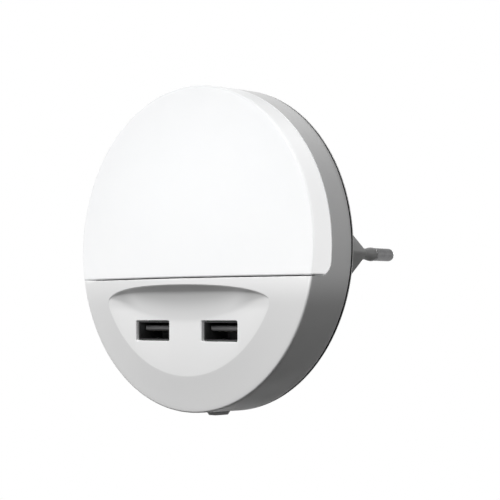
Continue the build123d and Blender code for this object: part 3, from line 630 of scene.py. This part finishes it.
def round_section(y_rear, set_in=0.0, rounding=0.7, rings=44):
    """Axis, dome, rounding, side wall, rear face, axis."""
    r = y = 0.0
    for _ in range(30):
        slope = 2 * DOME_2 * r + 4 * DOME_4 * r ** 3
        y = dome_y(r, set_in) + rounding * cos(atan(slope))
        r = wall_radius(y) - set_in - rounding + rounding * sin(atan(slope))
    tilt, lean = atan(slope), wall_radius(y, lean=True)
    points = [(r * i / rings, dome_y(r * i / rings, set_in)) for i in range(rings + 1)]
    centre_r = r - rounding * sin(tilt)
    for i in range(1, 7):
        turn = tilt + (pi / 2 - lean - tilt) * i / 6
        points.append((centre_r + rounding * sin(turn), y - rounding * cos(turn)))
    start = points[-1][1]
    wall = [start + (y_rear - start) * i / 10 for i in range(1, 11)]
    return points + [(wall_radius(y) - set_in, y) for y in wall] + [(0, y_rear)]


def break_seam_edge(obj, level, width=0.14):
    """Round the long edge where the flat at this height meets the dome."""
    def on_edge(point):
        if abs(point.z - level) > 0.002 or point.x ** 2 + point.z ** 2 > 44.5 ** 2:
            return False
        return abs(point.y - dome_front(point.x, point.z)) < 0.03
    pick_edges(obj, lambda a, b: on_edge(a) and on_edge(b))
    bevel_picked(width, 2)


def on_ring(radius, angle):
    """Point (x, z) on a ring round the axis, at an angle in degrees."""
    return radius * cos(radians(angle)), radius * sin(radians(angle))


def gather(parts):
    """Join loose pieces into one object, so that one boolean does for all."""
    only(parts[0])
    for part in parts[1:]:
        part.select_set(True)
    bpy.ops.object.join()
    return parts[0]


print("dome rim at y", round(dome_y(FRONT_R), 2), "mm")

# %% [markdown]
# ## Opal cap
# The cap could be a sphere cut to shape, but its dome is far flatter than a half ball, so a section is
# drawn and spun. Two bodies are spun, one for the outside and one for the hollow; both are cut along
# the seam with bisect, and the hollow is taken away, which leaves the wall and the straight lower edge.

# %% Outside and hollow of the cap
CAP_WALL = 1.8
cap = lathe("opal_cap", round_section(SKIRT_Y), 256)
slice_off(cap, (0, 0, SEAM_TOP), (0, 0, -1))
break_seam_edge(cap, SEAM_TOP)
hollow = lathe("cap_hollow", round_section(SKIRT_Y + 1, CAP_WALL, 0.9, 12), 120)
slice_off(hollow, (0, 0, SEAM_TOP + CAP_WALL), (0, 0, -1))
combine(cap, hollow)
tell(cap)

# %% [markdown]
# The lower rear corners of the skirt are rounded by 3.5 mm, on both sides. A cylinder across the body,
# taken from a block, leaves just the scrap that has to go.

# %% Rounded corners of the skirt
CORNER_R = 3.5


def corner_scrap(side, y, z, radius, x_from, x_to):
    """What lies outside a rounded corner on one side: a block less a drum across it."""
    x0, x1 = sorted((side * x_from, side * x_to))
    scrap = box("scrap", (x0, y - radius, z - 1), (x1, y + 1, z + radius))
    clear_selection()
    bpy.ops.mesh.primitive_cylinder_add(
        vertices=96, radius=radius * MM, depth=20 * MM, rotation=(0, pi / 2, 0),
        location=((x0 + x1) / 2 * MM, (y - radius) * MM, (z + radius) * MM),
    )
    return combine(scrap, settle("drum"))


for side in (-1, 1):
    combine(cap, corner_scrap(side, SKIRT_Y, SEAM_TOP, CORNER_R, 42.0, 48.0))
tell(cap)

# %% [markdown]
# Four hooks behind the wall snap through slots in the casing's deck. Each is a leg with a barb on the
# side that catches.

# %% Hooks of the cap
HOOK_TIP_Y, HOOK_RING = -51.15, 40.6
HOOKS = [(*on_ring(HOOK_RING, angle), angle) for angle in (35, 145)]
HOOKS += [(x, -3.0, 90) for x in (-21.855, 21.855)]
for x, z, angle in HOOKS:
    root = dome_y(sqrt(x * x + z * z) + 1.4, 0.9)
    leg = box("hook", (-0.7, root, -3), (0.7, HOOK_TIP_Y, 3))
    barb = box("barb", (-0.7, -52.35, -3), (1.5, HOOK_TIP_Y, 3))
    pick_edges(barb, lambda a, b: min(a.x, b.x) > 1.4 and min(a.y, b.y) > HOOK_TIP_Y - 0.01)
    bevel_picked(0.7, 1)
    combine(leg, barb, "UNION")
    combine(cap, turned_to(leg, x, z, angle), "UNION")
fit_in(cap, "diffuser", "housing", "diffuser", smooth=25)
print("hooks at", [(round(x, 1), round(z, 1)) for x, z, a in HOOKS])

# %% [markdown]
# ## Casing
# The casing is the same spun form, this time with a hollow of its own, cut away above the joint. What
# makes it hard is the recess under the joint: its wall hangs from an arched crest and runs out into the
# flat floor in one long soft curve. A plain block cut would give a straight, hard corner, so the cutter
# is a grid whose columns follow the crest, bent into the wall's section and extruded forward.

# %% Outside of the casing
section = round_section(CASE_REAR)
section[-2:] = [
    (BODY_R, CASE_REAR - 0.2), (BODY_R - 0.06, CASE_REAR - 0.06), (BODY_R - 0.2, CASE_REAR), (0, CASE_REAR)
]
case = lathe("casing", section, 256)
tell(case)

# %% Section of the recess
FLOOR_Y = -63.4
CREST_Z, WALL_SLOPE, WALL_BLEND = -10.2, radians(68), 5.5
CREST_Y = dome_front(0, CREST_Z)


def straight_wall(z):
    """Y of a straight 68 degree wall with a round blend; it only gives the arch of the crest."""
    blend_y = FLOOR_Y - WALL_BLEND * (1 - cos(WALL_SLOPE))
    blend_z = CREST_Z - (blend_y - CREST_Y) / tan(WALL_SLOPE)
    foot_z = blend_z - WALL_BLEND * sin(WALL_SLOPE)
    if z > blend_z:
        return CREST_Y + (CREST_Z - z) * tan(WALL_SLOPE)
    if z < foot_z:
        return FLOOR_Y
    return FLOOR_Y - WALL_BLEND + sqrt(WALL_BLEND ** 2 - (z - foot_z) ** 2)


def crest_at(x):
    """Height of the crest at this distance from the middle, found by halving."""
    low, high = -20.0, -9.0
    for _ in range(40):
        middle = (low + high) / 2
        if straight_wall(middle) > dome_front(x, middle):
            low = middle
        else:
            high = middle
    return middle


# distance below the crest and slope of the wall there, in degrees, for the deepest place
WALL = ((0, 53), (1.8, 52), (2.2, 42), (2.7, 30), (3.4, 22), (4.6, 16), (7.5, 8), (10.4, 3), (13.0, 0))


def wall_curve(count=48):
    """Points (distance, depth), both as shares, with more of them near the crest."""
    length = WALL[-1][0]
    points, depth, last = [(0.0, 0.0)], 0.0, 0.0
    for i in range(1, count + 1):
        distance = length * (i / count) ** 1.8
        middle = (distance + last) / 2
        for (d0, a0), (d1, a1) in zip(WALL, WALL[1:]):
            if d0 <= middle <= d1:
                slope = a0 + (a1 - a0) * (middle - d0) / (d1 - d0)
        depth += (distance - last) * tan(radians(slope))
        points.append((distance, depth))
        last = distance
    return [(distance, d / depth) for distance, d in points]


curve = wall_curve()
print("crest from", round(crest_at(0), 2), "to", round(crest_at(34), 2))

# %% [markdown]
# The grid has a column for every 0.4 mm across. In each column the first row lies ahead of the dome, the
# next ones follow the wall, scaled with the depth of the recess there, and the last row is the floor.
# The wall grows shorter a little more slowly than its depth, so its foot stays soft at both ends.

# %% Cut the recess
COLUMNS, HALF_WIDTH = 200, 40.0
ROWS = len(curve) + 2
LEAD, LEAD_SLOPE, LEAST_DEPTH, SOFTNESS = 4.0, radians(63), 0.15, 0.75
DEEPEST = FLOOR_Y - CREST_Y
clear_selection()
bpy.ops.mesh.primitive_grid_add(x_subdivisions=COLUMNS, y_subdivisions=ROWS - 1, size=1)
scoop = settle("scoop")
for vertex in scoop.data.vertices:
    column = round((vertex.co.x + 0.5) * COLUMNS)
    row = round((0.5 - vertex.co.y) * (ROWS - 1))
    x = -HALF_WIDTH + 2 * HALF_WIDTH * column / COLUMNS
    crest_z = crest_at(x)
    crest_y = dome_front(x, crest_z)
    depth = max(FLOOR_Y - crest_y, LEAST_DEPTH)
    share = depth / DEEPEST
    if row == 0:
        y, z = crest_y - LEAD, crest_z + LEAD / tan(LEAD_SLOPE)
    elif row <= len(curve):
        distance, part = curve[row - 1]
        y, z = FLOOR_Y - depth * (1 - part), crest_z - distance * share ** SOFTNESS
    else:
        y, z = FLOOR_Y, -50.0
    vertex.co = Vector((x, y, z)) * MM
edit_all(scoop)
bpy.ops.mesh.extrude_region_move(TRANSFORM_OT_translate={"value": (0, -20 * MM, 0)})
bpy.ops.mesh.select_all(action="SELECT")
bpy.ops.mesh.normals_make_consistent(inside=False)
bpy.ops.object.mode_set(mode="OBJECT")
combine(case, scoop)
tell(case)

# %% [markdown]
# Above the joint the casing steps back to the deck that carries the lamp board. The rear corners of the
# step are round, to match the corners of the cap's skirt.

# %% Step for the cap
STEP_CORNER_R = 3.8
step = box("step", (-60, -90, SEAM_LOW), (60, DECK_Y, 60))
scraps = [corner_scrap(side, DECK_Y, SEAM_LOW, STEP_CORNER_R, 42.3, 50) for side in (-1, 1)]
combine(step, gather(scraps))
combine(case, step)
break_seam_edge(case, SEAM_LOW)
tell(case)

# %% [markdown]
# The hollow leaves 2 mm everywhere: behind the dome, behind the floor of the recess and behind the deck.

# %% Hollow
INNER_R, INSIDE_Y, DECK_REAR = 44.5, -61.4, -52.6
inside = [(0, INSIDE_Y)]
for i in range(13):
    r = 32 + (INNER_R - 32) * i / 12
    inside.append((r, max(INSIDE_Y, dome_y(r, 2))))
hollow = lathe("hollow", inside + [(INNER_R, -40), (0, -40)], 128)
slice_off(hollow, (0, 0, SEAM_LOW - 1.5), (0, 0, 1))
combine(hollow, rod("drum", 0, 0, INNER_R, DECK_REAR, -40.5, 128), "UNION")
combine(case, hollow)
tell(case)

# %% [markdown]
# Bosses carry the rear cover, the main board and the lamp board, and a low ring on the deck centres the
# cap. They are one boolean, because joining first is much quicker than adding them one by one.

# %% Bosses and ring
ring = rod("ring", 0, 0, INNER_R, DECK_Y - 3, DECK_Y + 0.3, 128)
combine(ring, rod("bore", 0, 0, INNER_R - 1.4, DECK_Y - 4, DECK_Y + 1, 128))
slice_off(ring, (0, 0, 3.5), (0, 0, -1))
bosses, pilots = [ring], []
SCREW_RING = 37
SCREWS = [on_ring(SCREW_RING, angle) for angle in (90, 210, 330)]
places = [(x, z, 3.2, 1.25, -47.1) for x, z in SCREWS]
for set_in, angle in ((7.4, 27), (7.4, 153), (13.5, 270)):
    places.append((*on_ring(INNER_R - set_in, angle), 2.7, 0.95, -50.1))
for x, z, boss_r, pilot_r, end in places:
    foot = DECK_REAR if z > -8 else INSIDE_Y
    bosses.append(rod("boss", x, z, boss_r, foot - 0.5, end))
    pilots.append(rod("pilot", x, z, pilot_r, foot + 1, end + 1, 24))
for x in (-20, 20):
    bosses.append(rod("boss", x, 4, 2.2, DECK_REAR - 0.5, -50.7))
    pilots.append(rod("pilot", x, 4, 0.95, DECK_Y - 1, -51.3, 24))
combine(case, gather(bosses), "UNION")
combine(case, gather(pilots))
print(len(places) + 2, "bosses")

# %% [markdown]
# Last come the openings: slots for the cap's hooks, the hole for the board link, the slot of the switch
# tab and the two ports. The mouth of each port is flared a little, as a moulded edge is never sharp.

# %% Openings
PORT_X, PORT_Z = 13.4, -23.3
openings = [box("link", (-3.1, DECK_Y - 1, 1.4), (3.1, DECK_REAR + 1, 4.6))]
openings.append(box("tab_slot", (-3.1, -55.1, -47.5), (3.1, -47.7, -43.5)))
for x, z, angle in HOOKS:
    slot = box("hook_slot", (-0.95, DECK_Y - 1, -3.25), (1.75, DECK_REAR + 1, 3.25))
    openings.append(turned_to(slot, x, z, angle))
MOUTH_W, MOUTH_H, FLARE = 13.8, 5.8, 0.16
for side in (-1, 1):
    port_x = side * PORT_X
    port = rounded_block("port", MOUTH_W, MOUTH_H, 0.5, FLOOR_Y + FLARE, INSIDE_Y + 1, port_x, PORT_Z)
    pick_faces(port, lambda centre, normal: normal.y < -0.9)
    bpy.ops.mesh.extrude_region_move(TRANSFORM_OT_translate={"value": (0, -FLARE * MM, 0)})
    grow = ((MOUTH_W + 2 * FLARE) / MOUTH_W, 1, (MOUTH_H + 2 * FLARE) / MOUTH_H)
    bpy.ops.transform.resize(value=grow, center_override=(port_x * MM, FLOOR_Y * MM, PORT_Z * MM))
    bpy.ops.mesh.extrude_region_move(TRANSFORM_OT_translate={"value": (0, -2 * MM, 0)})
    bpy.ops.object.mode_set(mode="OBJECT")
    openings.append(port)
combine(case, gather(openings))
fit_in(case, "housing", "housing", "front_shell", smooth=25)

# %% [markdown]
# ## Painted light and shade on the casing
# The casing is given painted light: an emission on its front skin next to the cap, stronger towards the
# right, on the side wall by the joint and on the thin floor of the recess, fading within two centimetres.
# The wall of the recess gets painted shade: its colour is darkened, most of all at its ends. The masks are
# places: the depth behind the dome, worked out with the same formula, the radius, and Y.

# %% Painted light and shade of the casing
PAINTED_LIGHT_FRONT, PAINTED_LIGHT_SIDE, PAINTED_LIGHT_FLOOR = 0.08, 0.08, 0.075
WALL_PAINTED_SHADE, END_PAINTED_SHADE = 0.2, 0.22
tree = casing.node_tree
shader = shader_of(tree)
place = placed(tree)
split = tree.nodes.new("ShaderNodeSeparateXYZ")
tree.links.new(place, split.inputs[0])
x, y, z = (split.outputs[axis] for axis in "XYZ")
square = calc(tree, "ADD", product(tree, x, x), product(tree, z, z))
rise = calc(
    tree, "ADD", product(tree, square, DOME_2 / MM), product(tree, square, square, DOME_4 / MM ** 3)
)
behind = calc(tree, "SUBTRACT", calc(tree, "SUBTRACT", y, rise), CROWN_Y * MM)
skin = spread(tree, behind, 0.05 * MM, 0.4 * MM, 1.0, 0.0)
below_skin = calc(tree, "SUBTRACT", 1.0, skin)

# painted light: emission on the casing next to the cap, on its side wall and on the floor of the recess
front_painted_light = product(
    tree, along(tree, place, "Z", -17, -7, 0.0, PAINTED_LIGHT_FRONT),
    along(tree, place, "X", -46, 46, 1.1, 2.4), skin,
)
side_painted_light = product(
    tree, along(tree, place, "Z", -18, -6, 0.0, PAINTED_LIGHT_SIDE),
    along(tree, place, "radius", 45.4, 45.7, 0.0, 1.0), along(tree, place, "Z", 0.0, 30, 1.0, 0.3),
)
floor_painted_light = product(
    tree, along(tree, place, "Y", -63.5, -63.42, 0.0, PAINTED_LIGHT_FLOOR),
    along(tree, place, "radius", 36.0, 36.1, 1.0, 0.0), along(tree, place, "Z", -18, -15.5, 1.0, 0.0),
)
painted_light = calc(tree, "ADD", calc(tree, "ADD", front_painted_light, side_painted_light), floor_painted_light)
shader.inputs["Emission Color"].default_value = (1, 1, 1, 1)
tree.links.new(painted_light, shader.inputs["Emission Strength"])

# painted shade: the recess wall is darkened, most of all at its ends
wall_painted_shade = product(tree, below_skin, along(tree, place, "Y", -64.4, -63.42, WALL_PAINTED_SHADE, 0.0))
ends_painted_shade = product(
    tree, along(tree, place, "radius", 24, 30, 0.0, END_PAINTED_SHADE),
    along(tree, place, "Y", -63.6, -63.42, 1.0, 0.0),
    calc(tree, "MINIMUM", product(tree, below_skin, 3.0), 1.0),
)
dim_colour(tree, shader, calc(tree, "SUBTRACT", 1.0, calc(tree, "ADD", wall_painted_shade, ends_painted_shade)))
print("painted_light", PAINTED_LIGHT_FRONT, PAINTED_LIGHT_SIDE)

# %% [markdown]
# ## Mains plug
# The boss is a hexagon because that is the outline a flat two pin plug shares with its socket. A block
# is added, and its four long edges are cut back at 45 degrees until only a narrow flat is left.

# %% Hexagonal boss
def hexagon_bar(name, half_x, half_z, flat, y0, y1):
    """A block with its four long edges cut back to a hexagon with a narrow flat."""
    bar = box(name, (-half_x, y0, -half_z), (half_x, y1, half_z))
    pick_edges(bar, lambda a, b: abs(a.y - b.y) > 0.1)
    bevel_picked(half_z - flat / 2, 1)
    return bar


BOSS_X, BOSS_Z, BOSS_FLAT = 15.1, 6.85, 0.8
boss = hexagon_bar("plug_boss", BOSS_X, BOSS_Z, BOSS_FLAT, -24, 0)
pick_edges(boss, lambda a, b: abs(a.y - b.y) > 0.1)
bevel_picked(0.25, 3)
pick_edges(boss, lambda a, b: min(a.y, b.y) > -0.01)
bevel_picked(0.5, 5)
# the slopes of the flange lie 2.2 mm outside those of the boss
flange = hexagon_bar("flange", 16.6, 9.05, BOSS_FLAT + 4.4 * 0.4142, -24, -22)
combine(boss, flange, "UNION")
PIN_X, SHANK_R, SEAT_R, SEAT_Y = 9.5, 1.2, 1.7, -2
for side in (-1, 1):
    combine(boss, rod("hole", side * PIN_X, 0, SHANK_R, -25, 1))
    combine(boss, rod("seat", side * PIN_X, 0, SEAT_R, SEAT_Y, 1))
fit_in(boss, "plug_plastic", "housing", "plug_block")

# %% [markdown]
# ### Pins and sleeves
# Each pin is a lathe job: a thin shank that passes through the boss, and a bare end of 4 mm with a
# round nose. The sleeve is moulded round the shank: straight first, then swelling to a collar that is a
# little proud of the bare metal, with a shadow line where the two meet.

# %% Pins and sleeves
BARE_Y, PIN_END = 10, 19


def pin_section():
    """Tail, shank, shoulder, bare end, round nose."""
    nose = [(0.2 + 1.8 * cos(t), 17.2 + 1.8 * sin(t)) for t in [pi / 2 * i / 10 for i in range(11)]]
    shank = [(0, -26), (SHANK_R - 0.15, -26), (SHANK_R, -25.85), (SHANK_R, BARE_Y)]
    return shank + [(1.86, BARE_Y), (2.0, BARE_Y + 0.14)] + nose + [(0, PIN_END)]


def sleeve_section():
    """Bore, seat in the boss, waist, swelling, rounded end."""
    swell = [(5.2 + 3.4 * i / 10, 1.7 + 0.45 * (0.5 - 0.5 * cos(pi * i / 10))) for i in range(11)]
    end = [(8.6 + 1.2 * i / 5, 2.15 - 0.22 * (i / 5) ** 2) for i in range(1, 6)]
    outline = [(r, y) for y, r in swell + end]
    inner = [(1.8, BARE_Y), (SHANK_R, BARE_Y), (SHANK_R, SEAT_Y)]
    return [(SHANK_R, SEAT_Y), (SEAT_R, SEAT_Y)] + outline + inner


for side, word in SIDES:
    pin = lathe("mains_pin_" + word, pin_section(), 64, side * PIN_X)
    fit_in(pin, "pin_metal", "housing", "plug_pin_" + word, smooth=35)
    sleeve = lathe("sleeve_" + word, sleeve_section(), 64, side * PIN_X)
    fit_in(sleeve, "sleeve", "housing", "pin_sleeve_" + word, smooth=35)

# %% [markdown]
# ## Rear cover
# The cover is turned round the same axis: thin plate, hump for the power supply and a ring that drops
# into the casing. The screw holes, the window for the boss and a gap for the switch are cut after.

# %% Rear cover
HUMP_Y, BACK_Y, RIM = -20.0, -45.1, 0.3
HUMP_EDGE = [pi / 2 * i / 8 * 0.98 for i in range(1, 9)]
HUMP_FOOT = [pi / 2 * i / 6 for i in range(1, 7)]
cover_section = (
    [(0, HUMP_Y), (20.2, HUMP_Y)]
    + [(20.22 + 4.0 * sin(t), HUMP_Y - 4.0 + 4.0 * cos(t)) for t in HUMP_EDGE]
    + [(24.93, BACK_Y + 2.5)]
    + [(27.5 - 2.5 * cos(t), BACK_Y + 2.5 - 2.5 * sin(t)) for t in HUMP_FOOT]
    + [(46.25, BACK_Y), (46.43, BACK_Y - 0.07), (BODY_R, BACK_Y - 0.22), (BODY_R, BACK_Y - RIM)]
    + [(44.3, BACK_Y - RIM), (44.3, -48.9), (43.1, -48.9), (43.1, -47.1), (23.0, -47.1)]
    + [(22.2, -24.0), (21.6, -22.6), (20.2, -22.0), (0, -22.0)]
)
cover = lathe("back_cover", cover_section, 160)
PLAY = 0.15
window = hexagon_bar("window", BOSS_X + PLAY, BOSS_Z + PLAY, BOSS_FLAT + 0.124, -26, -18)
combine(cover, window)
for x, z in SCREWS:
    combine(cover, rod("hole", x, z, 1.5, -50, -40))
    combine(cover, rod("seat", x, z, 2.8, -46.1, -40))
gap = box("gap", (-7.25, -50, -46), (7.25, -47.1, -41.48))
combine(cover, gap)
fit_in(cover, "housing", "housing", "rear_cover")
cover.material_slots[0].material = cover_plastic

# %% [markdown]
# ## Charging ports
# A receptacle is a tube folded from 0.3 mm steel. It could be a plain box, but the rolled corners and
# the sprung fingers are what a plug feels, so a block is added, its long edges are rounded, a smaller
# block is taken out of it, and the fingers are bent strips in windows of the sheet.

# %% Steel shell
PORT_FRONT, PORT_REAR = -62.55, -50.1
PORT_W, PORT_H, SHEET = 13.4, 5.4, 0.3


def ribbon(name, x, width, points, thick):
    """A strip of sheet that follows (y, z) points: an edge is extruded along them and given thickness."""
    clear_selection()
    bpy.ops.mesh.primitive_plane_add(size=MM)
    obj = settle(name)
    pick_edges(obj, lambda a, b: a.y > 0 and b.y > 0)
    bpy.ops.mesh.select_all(action="INVERT")
    bpy.ops.mesh.select_mode(type="VERT")
    bpy.ops.mesh.select_all(action="SELECT")
    bpy.ops.transform.resize(value=(width, 0, 1))
    bpy.ops.mesh.remove_doubles(threshold=0.001 * MM)
    bpy.ops.mesh.select_all(action="SELECT")
    draw([(0, y, z) for y, z in points], x)
    bpy.ops.object.mode_set(mode="OBJECT")
    modify(obj, "SOLIDIFY", thickness=thick * MM, offset=0)
    return obj


shell = rounded_block("port_shell", PORT_W, PORT_H, 0.5, PORT_FRONT, PORT_REAR)
bore = rounded_block("bore", PORT_W - 2 * SHEET, PORT_H - 2 * SHEET, 0.25, PORT_FRONT - 1, PORT_REAR + 1)
combine(shell, bore)
FINGER_Y0, FINGER_Y1, FINGERS_X = PORT_FRONT + 3.2, PORT_FRONT + 8.2, (-3.0, 3.0)
for x in FINGERS_X:
    combine(shell, box("window", (x - 0.9, FINGER_Y0, -9), (x + 0.9, FINGER_Y1, 9)))
soften(shell, 0.06, 50, 2)
tell(shell)

# %% [markdown]
# Each finger hangs on the rear edge of its window, dips into the tube and turns up again at its free
# end, so that a plug slides under it.

# %% Sprung fingers
DIP = ((0.0, 0.0), (1.2, 0.05), (2.6, 0.28), (3.5, 0.38), (4.0, 0.36), (4.6, 0.1))
for x in FINGERS_X:
    for side in (-1, 1):
        level = side * (PORT_H - SHEET) / 2
        path = [(FINGER_Y1 + 0.05 - reach, level - side * drop) for reach, drop in DIP]
        finger = ribbon("finger", x, 1.1, path, 0.24)
        gather([shell, finger])


def copy_to(obj, name, x, z=0.0):
    """A copy with its own mesh, moved in the mesh."""
    only(obj)
    bpy.ops.object.duplicate(linked=False)
    twin = settle(name)
    edit_all(twin)
    bpy.ops.transform.translate(value=(x * MM, 0, z * MM))
    bpy.ops.object.mode_set(mode="OBJECT")
    return twin


for side, word in SIDES:
    twin = copy_to(shell, "port_shell_" + word, side * PORT_X, PORT_Z)
    fit_in(twin, "port_steel", "housing", "usb_shell_" + word, smooth=35)
bpy.data.objects.remove(shell)

# %% [markdown]
# The tongue is one moulding with the block that closes the tube: a bar with rounded edges, cut at 45
# degrees under its tip so that a plug finds its way. Its four contacts start a little behind the tip.

# %% Tongues and contacts
TONGUE_TOP = PORT_H / 2 - SHEET - 0.9
TONGUE_TIP, BLOCK_Y = -60.4, -53.3
tongue = rounded_block("tongue", PORT_W - 2 * SHEET, PORT_H - 2 * SHEET, 0.25, BLOCK_Y, PORT_REAR)
blade = box("blade", (-5.95, TONGUE_TIP, TONGUE_TOP - 1.5), (5.95, BLOCK_Y + 0.5, TONGUE_TOP))
pick_edges(blade, lambda a, b: max(a.y, b.y) < TONGUE_TIP + 0.01 and max(a.z, b.z) < TONGUE_TOP - 1)
bevel_picked(0.45, 1)
soften(blade, 0.1, 40, 3)
combine(tongue, blade, "UNION")
contact_y0 = TONGUE_TIP + 0.8
strip_z = TONGUE_TOP - 1.5 - 0.075
strips = []
for pitch in (-3.5, -1.0, 1.0, 3.5):
    path = [(BLOCK_Y, strip_z), (contact_y0 + 0.3, strip_z), (contact_y0, strip_z + 0.06)]
    strips.append(ribbon("contact", pitch, 1.0, path, 0.14))
contacts = gather(strips)
for side, word in SIDES:
    twin = copy_to(tongue, "tongue_" + word, side * PORT_X, PORT_Z)
    fit_in(twin, "tongue", "housing", "usb_tongue_" + word, smooth=35)
    twin = copy_to(contacts, "contacts_" + word, side * PORT_X, PORT_Z)
    fit_in(twin, "contacts", "housing", "usb_contacts_" + word, smooth=35)
bpy.data.objects.remove(tongue)
bpy.data.objects.remove(contacts)

# %% [markdown]
# ## Switch tab
# The tab under the rim is all that shows of the slide switch. Its ends are cut back so that a finger
# slides onto it, and every edge is broken. Inside the wall it widens to a flange that keeps it in, with
# a socket for the lever.

# %% Switch tab
TAB_X, TAB_Y, TAB_TIP = 1.5, -51.4, -47.4
FLANGE_LOW = -sqrt(INNER_R ** 2 - 6.25 ** 2) + 0.3
FLANGE_TOP = FLANGE_LOW + 0.7
tab_low, tab_high = (TAB_X - 1.3, TAB_Y - 3.4, TAB_TIP), (TAB_X + 1.3, TAB_Y + 3.4, FLANGE_LOW + 0.35)
tab = box("switch_tab", tab_low, tab_high)
pick_edges(tab, lambda a, b: abs(a.x - b.x) > 0.1 and max(a.z, b.z) < TAB_TIP + 0.01)
bevel_picked(0.8, 1)
soften(tab, 0.12, 30, 3)
flange = box("flange", (TAB_X - 4.75, TAB_Y - 4, FLANGE_LOW), (TAB_X + 4.75, TAB_Y + 4, FLANGE_TOP))
soften(flange, 0.1, 30, 2)
combine(tab, flange, "UNION")
socket = box("socket", (TAB_X - 0.85, -53.1, FLANGE_LOW - 1.3), (TAB_X + 0.85, -51.4, FLANGE_TOP + 1))
combine(tab, socket)
fit_in(tab, "knob", "switch", "switch_knob")

# %% [markdown]
# ## Everything else
# The boards, the power supply, the slide switch and the screws keep the meshes of the frame: they are
# hidden in the closed casing, and their forms are simple. Each gets its own finish.

# %% Hand the finishes out
for name, node in nodes.items():
    slot = node.data.materials[0].name.split(".")[0]
    if slot in finishes:
        node.material_slots[0].material = finishes[slot]
    else:
        print("no finish for", name, slot)
print("finishes on", len(nodes), "nodes")

# %% [markdown]
# ## Studio
# A white room: the world is white where the camera, a reflection or a ray through glass looks at it, and
# gives the object almost no light of its own. A pale floor lies 0.3 m below, the height of a low wall
# socket. It looks white too, keeps the shadow of the object, and throws only a little light up, so that
# the underside stays in shade.

# %% World and floor
scene = bpy.context.scene
scene.view_settings.view_transform = "Standard"


def seen_directly(tree):
    """1 for camera, glossy and transmission rays."""
    paths = tree.nodes.new("ShaderNodeLightPath")
    value = paths.outputs["Is Camera Ray"]
    for kind in ("Is Glossy Ray", "Is Transmission Ray"):
        value = calc(tree, "MAXIMUM", value, paths.outputs[kind])
    return value


world = bpy.data.worlds.new("studio")
scene.world = world
world.use_nodes = True
sky = world.node_tree
sky.nodes.clear()
mix = sky.nodes.new("ShaderNodeMixShader")
out = sky.nodes.new("ShaderNodeOutputWorld")
sky.links.new(seen_directly(sky), mix.inputs[0])
FILL, WHITE = 0.02, 1.0
for entry, strength in ((1, FILL), (2, WHITE)):
    light = sky.nodes.new("ShaderNodeBackground")
    light.inputs["Color"].default_value = (1, 1, 1, 1)
    light.inputs["Strength"].default_value = strength
    sky.links.new(light.outputs[0], mix.inputs[entry])
sky.links.new(mix.outputs[0], out.inputs[0])

FLOOR_Z, FLOOR_R = -0.3, 1.5
BOUNCE, SHADOW_GREY, SHINE = 0.04, 0.25, 0.9
clear_selection()
bpy.ops.mesh.primitive_circle_add(vertices=96, radius=FLOOR_R, fill_type="NGON", location=(0, 0, FLOOR_Z))
floor = bpy.context.object
floor.name = "floor"
paint = bpy.data.materials.new("floor_paint")
paint.use_nodes = True
tree = paint.node_tree
tree.nodes.clear()
matt = tree.nodes.new("ShaderNodeBsdfDiffuse")
pale = tree.nodes.new("ShaderNodeBsdfDiffuse")
pale.inputs["Color"].default_value = (BOUNCE, BOUNCE, BOUNCE, 1)
matt.inputs["Color"].default_value = (SHADOW_GREY, SHADOW_GREY, SHADOW_GREY, 1)
shine = tree.nodes.new("ShaderNodeEmission")
shine.inputs["Color"].default_value = (1, 1, 1, 1)
shine.inputs["Strength"].default_value = SHINE
lit = tree.nodes.new("ShaderNodeAddShader")
choice = tree.nodes.new("ShaderNodeMixShader")
ground = tree.nodes.new("ShaderNodeOutputMaterial")
tree.links.new(matt.outputs[0], lit.inputs[0])
tree.links.new(shine.outputs[0], lit.inputs[1])
tree.links.new(seen_directly(tree), choice.inputs[0])
tree.links.new(pale.outputs[0], choice.inputs[1])
tree.links.new(lit.outputs[0], choice.inputs[2])
tree.links.new(choice.outputs[0], ground.inputs["Surface"])
floor.data.materials.append(paint)
print("floor at", FLOOR_Z)

# %% [markdown]
# ### Lamps
# Round soft lamps, half a metre across, stand on a ball of 1.2 m round the object. Two keys stand high in
# front, as for a catalogue picture, and a weaker one higher still at the left. Weak ones at the right
# light the side wall, and one behind, a little to the left, lights the plug.

# %% Lamps
def lamp(name, azimuth, elevation, power, size=0.5, distance=1.2):
    """A round soft lamp on a ball round the object, aimed at it. Azimuth 0 is in front, 90 at its right."""
    a, e = radians(azimuth), radians(elevation)
    away = Vector((sin(a) * cos(e), -cos(a) * cos(e), sin(e)))
    data = bpy.data.lights.new(name, "AREA")
    data.shape = "DISK"
    data.size = size
    data.energy = power
    obj = bpy.data.objects.new(name, data)
    obj.location = Vector((0, -0.055, 0)) + distance * away
    obj.rotation_euler = (-away).to_track_quat("-Z", "Y").to_euler()
    scene.collection.objects.link(obj)


lamp("key", -8, 35, 10.7)
lamp("key right", 20, 35, 4.4)
lamp("top", -40, 60, 2.2)
lamp("side", 60, 15, 0.6)
lamp("rear right", 120, 10, 1.4)
lamp("rear", -168, 5, 5.5)
print("lamps ready")
